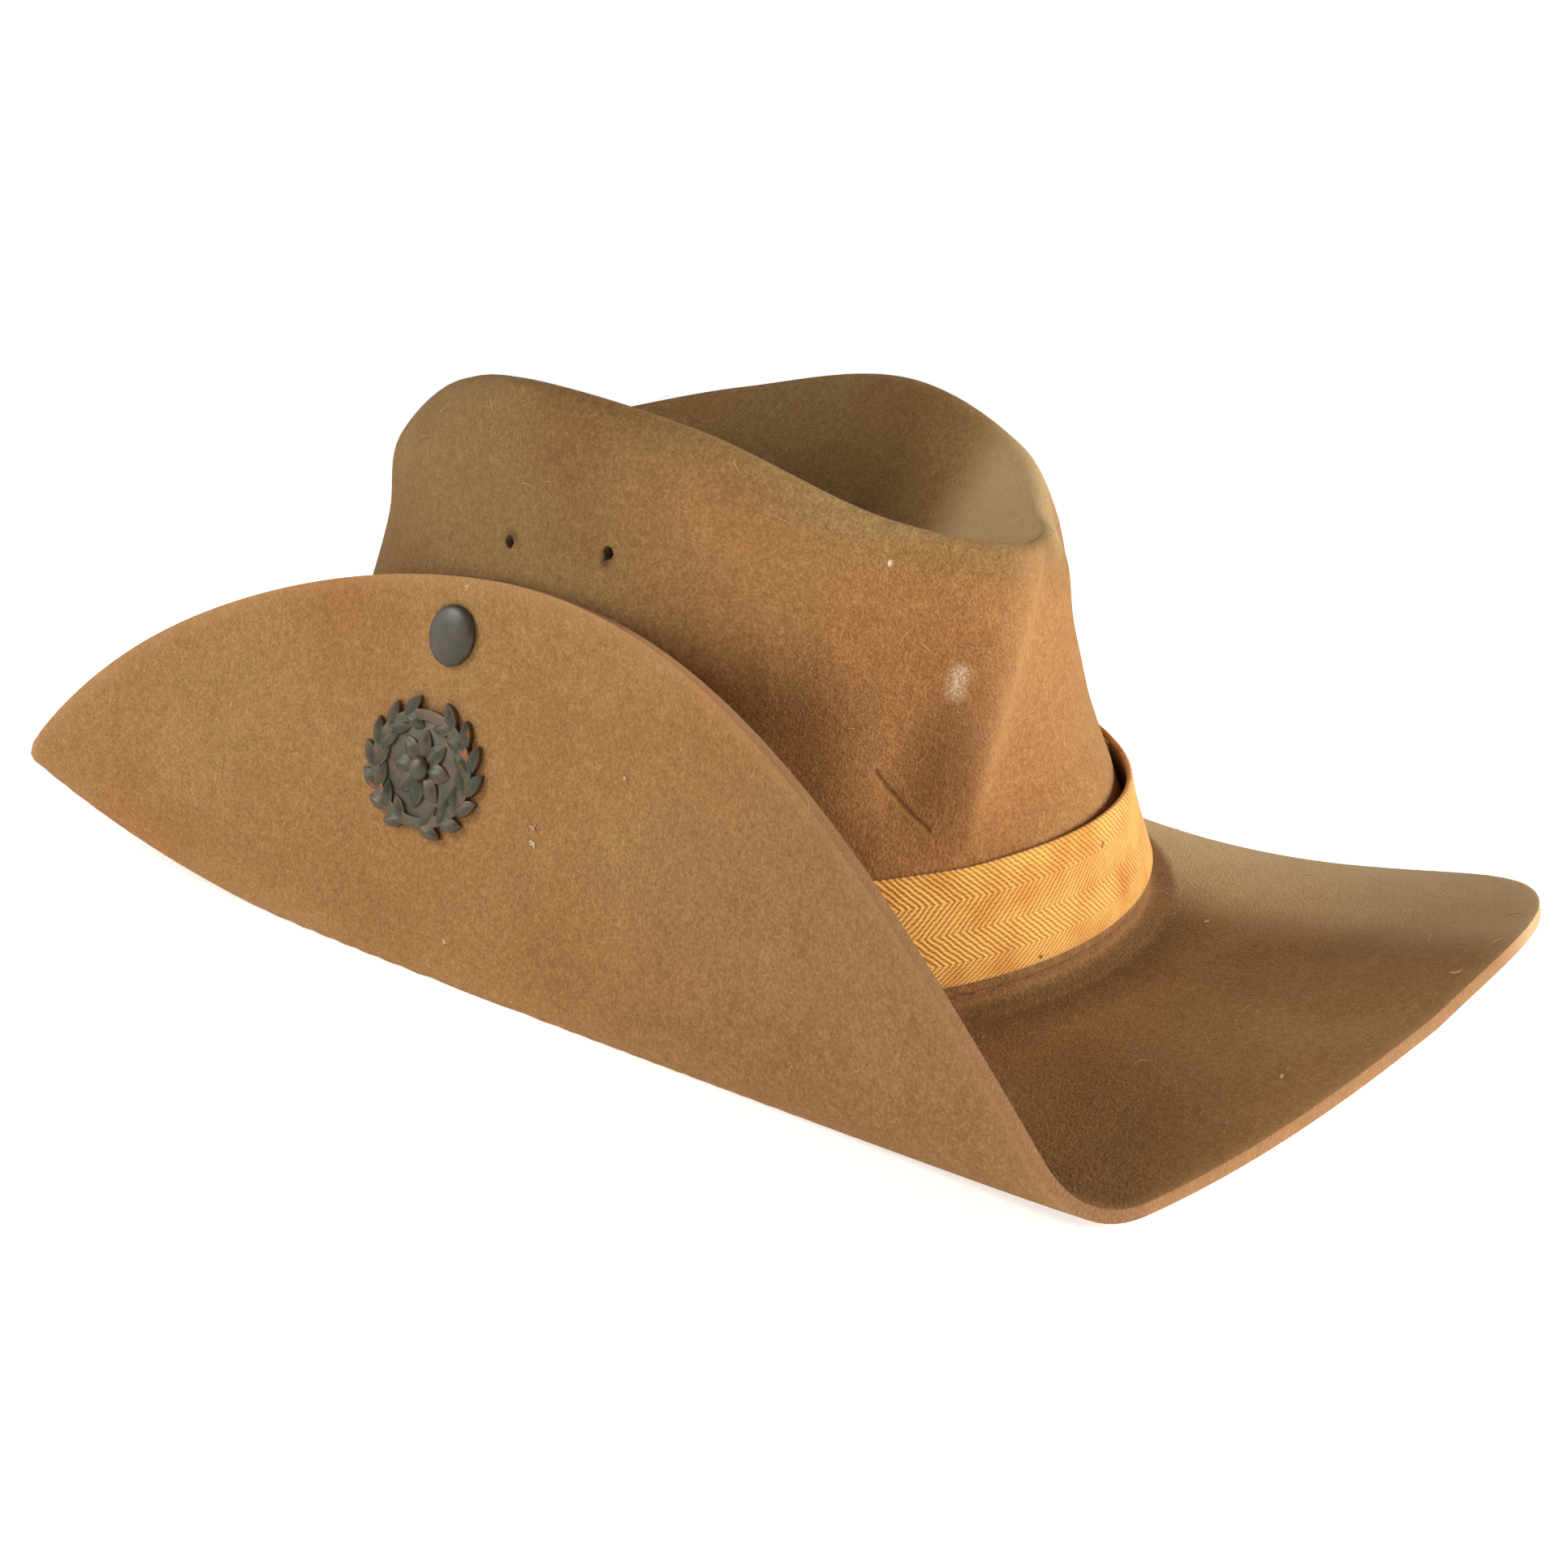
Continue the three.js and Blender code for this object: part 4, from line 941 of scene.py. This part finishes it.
spots = [(v.co.copy(), v.normal.copy()) for v in felt_mesh.vertices if v.co.z > CLEAR_OF_TABLE * MM]
for k in range(FIBRES):
    at, normal = draw.choice(spots)
    out = normal if draw.random() < OUTSIDE_SHARE else -normal
    strand(at + out * FELT * MM / 2, out, tangent(out, draw.uniform(0, 2 * math.pi)),
           draw.uniform(*FIBRE_LONG) * MM, FIBRE_THICK * MM, draw.uniform(*FIBRE_CURL),
           draw.uniform(*FIBRE_LIFT), WOOL)


def flap_spot(height, along_flap):
    """Point on the outer face of the turned-up side at a height above the root, and the way out."""
    frame_there = min((flap_frame(k, along_flap) for k in range(1, 100)),
                      key=lambda made: abs(made.translation.z - height))
    return outer_face(frame_there.translation, frame_there.to_3x3().col[2])


def brim_spot(bearing, share):
    at, on = brim_point(bearing, share), brim_point(bearing + 1, share)
    return outer_face(at, (brim_point(bearing, share + 0.02) - at).cross(on - at).normalized())


lint_at = [(*flap_spot(row["height"], row["along"]), row["long"]) for row in LINT_ON_FLAP]
lint_at += [(*brim_spot(row["bearing"], row["share"]), row["long"]) for row in LINT_ON_BRIM]
for at, out, long in lint_at:
    for k in range(LINT_THREADS):
        strand(at, out, tangent(out, draw.uniform(0, 2 * math.pi)), draw.uniform(*LINT_LONG) * long * MM,
               draw.uniform(*LINT_THICK) * MM, draw.uniform(*LINT_CURL), draw.uniform(*LINT_LIFT), COTTON)
for name, shades in (("loose_wool", [(0.4, "#a88058"), (0.6, "#d8b88e")]),
                     ("cotton_lint", [(0.4, "#d9d2c6"), (0.6, "#f4f1ea")])):
    fibre, tree, shader = new_material(name)
    dyed = noise(tree, object_place(tree), Scale=125, Detail=1)
    tree.links.new(ramp(tree, dyed, shades), shader.inputs["Base Color"])
    shader.inputs["Roughness"].default_value = 0.8
    loose.materials.append(fibre)
drawn = bpy.data.objects.new("stray_fibre_curves", loose)
loose_mesh = bpy.data.meshes.new_from_object(drawn)
loose_piece = bpy.data.objects.new("stray_fibres", loose_mesh)
bpy.context.scene.collection.objects.link(loose_piece)
bpy.data.objects.remove(drawn)
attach(loose_piece, "root")


# The table: a seamless sheet of pale paper, lit a little from behind, which is brighter far away
# (from 1.5 to 4 m from the hat) and curves up at its rim
PAPER_RADIUS, PAPER_LIP, LIP_STEPS = 6.0, 3.0, 8
paper = bmesh.new()
bmesh.ops.create_circle(paper, cap_ends=True, segments=96, radius=PAPER_RADIUS)
edges = [e for e in paper.edges if e.is_boundary]
for step in range(1, LIP_STEPS + 1):
    lift = step / LIP_STEPS * math.pi / 2
    made = bmesh.ops.extrude_edge_only(paper, edges=edges)["geom"]
    edges = [e for e in made if isinstance(e, bmesh.types.BMEdge) and e.is_boundary]
    radius = PAPER_RADIUS + PAPER_LIP * math.sin(lift)
    for v in (v for v in made if isinstance(v, bmesh.types.BMVert)):
        flat_way = Vector((v.co.x, v.co.y, 0)).normalized()
        v.co = flat_way * radius + Vector((0, 0, PAPER_LIP * (1 - math.cos(lift))))
paper_piece = smooth_piece("studio_paper", paper)
pale, tree, shader = new_material("matte_white_paper")
shader.inputs["Base Color"].default_value = srgb("#f2f2f0")
shader.inputs["Roughness"].default_value = 0.9
shader.inputs["Specular IOR Level"].default_value = 0.1
shader.inputs["Emission Color"].default_value = srgb("#ffffff")
far = node(tree, "ShaderNodeVectorMath", {"operation": "LENGTH"},
           i0=object_place(tree)).outputs["Value"]
glow = node(tree, "ShaderNodeMapRange", Value=far, i1=1.5, i2=4.0, i3=0.62, i4=0.95).outputs[0]
tree.links.new(glow, shader.inputs["Emission Strength"])
paper_piece.data.materials.append(pale)


# Light and camera: a broad soft light from the front right, where the crown is pinched, a smaller and
# weaker one from the back left, and a dim white surround, as for a catalogue picture
LIT_POINT = Vector((0, 0, 0.05))


def soft_light(name, place, size, power):
    data = bpy.data.lights.new(name, "AREA")
    data.shape = "DISK"
    data.size = size
    data.energy = power
    lamp = bpy.data.objects.new(name, data)
    aim = (LIT_POINT - Vector(place)).to_track_quat("-Z", "Y").to_matrix().to_4x4()
    lamp.matrix_world = Matrix.Translation(place) @ aim
    bpy.context.scene.collection.objects.link(lamp)


soft_light("left_softbox", (-0.85, 0.75, 0.7), 0.45, 8.2)
soft_light("right_softbox", (0.7, -1.6, 0.66), 0.9, 37)
world = bpy.data.worlds.new("white_surround")
world.use_nodes = True
world.node_tree.nodes["Background"].inputs["Color"].default_value = srgb("#ffffff")
world.node_tree.nodes["Background"].inputs["Strength"].default_value = 0.15
bpy.context.scene.world = world

CAMERA_PLACE = (-0.47202, -0.38064, 0.17090)
CAMERA_AZIMUTH, CAMERA_ELEVATION, CAMERA_ROLL = -49.69, 13.11, 6.05
IMAGE_PX, FOCAL_PX, SENSOR_MM = 1932, 3042.7, 36
camera_data = bpy.data.cameras.new("camera")
camera_data.sensor_width = SENSOR_MM
camera_data.lens = FOCAL_PX / IMAGE_PX * SENSOR_MM
camera_data.clip_start = 0.01
camera = bpy.data.objects.new("camera", camera_data)
camera.matrix_world = (Matrix.Translation(CAMERA_PLACE)
                       @ Matrix.Rotation(math.radians(CAMERA_AZIMUTH), 4, "Z")
                       @ Matrix.Rotation(math.radians(90 - CAMERA_ELEVATION), 4, "X")
                       @ Matrix.Rotation(math.radians(CAMERA_ROLL), 4, "Z"))
bpy.context.scene.collection.objects.link(camera)
bpy.context.scene.camera = camera
bpy.context.scene.view_settings.view_transform = "Standard"

bpy.context.view_layer.update()
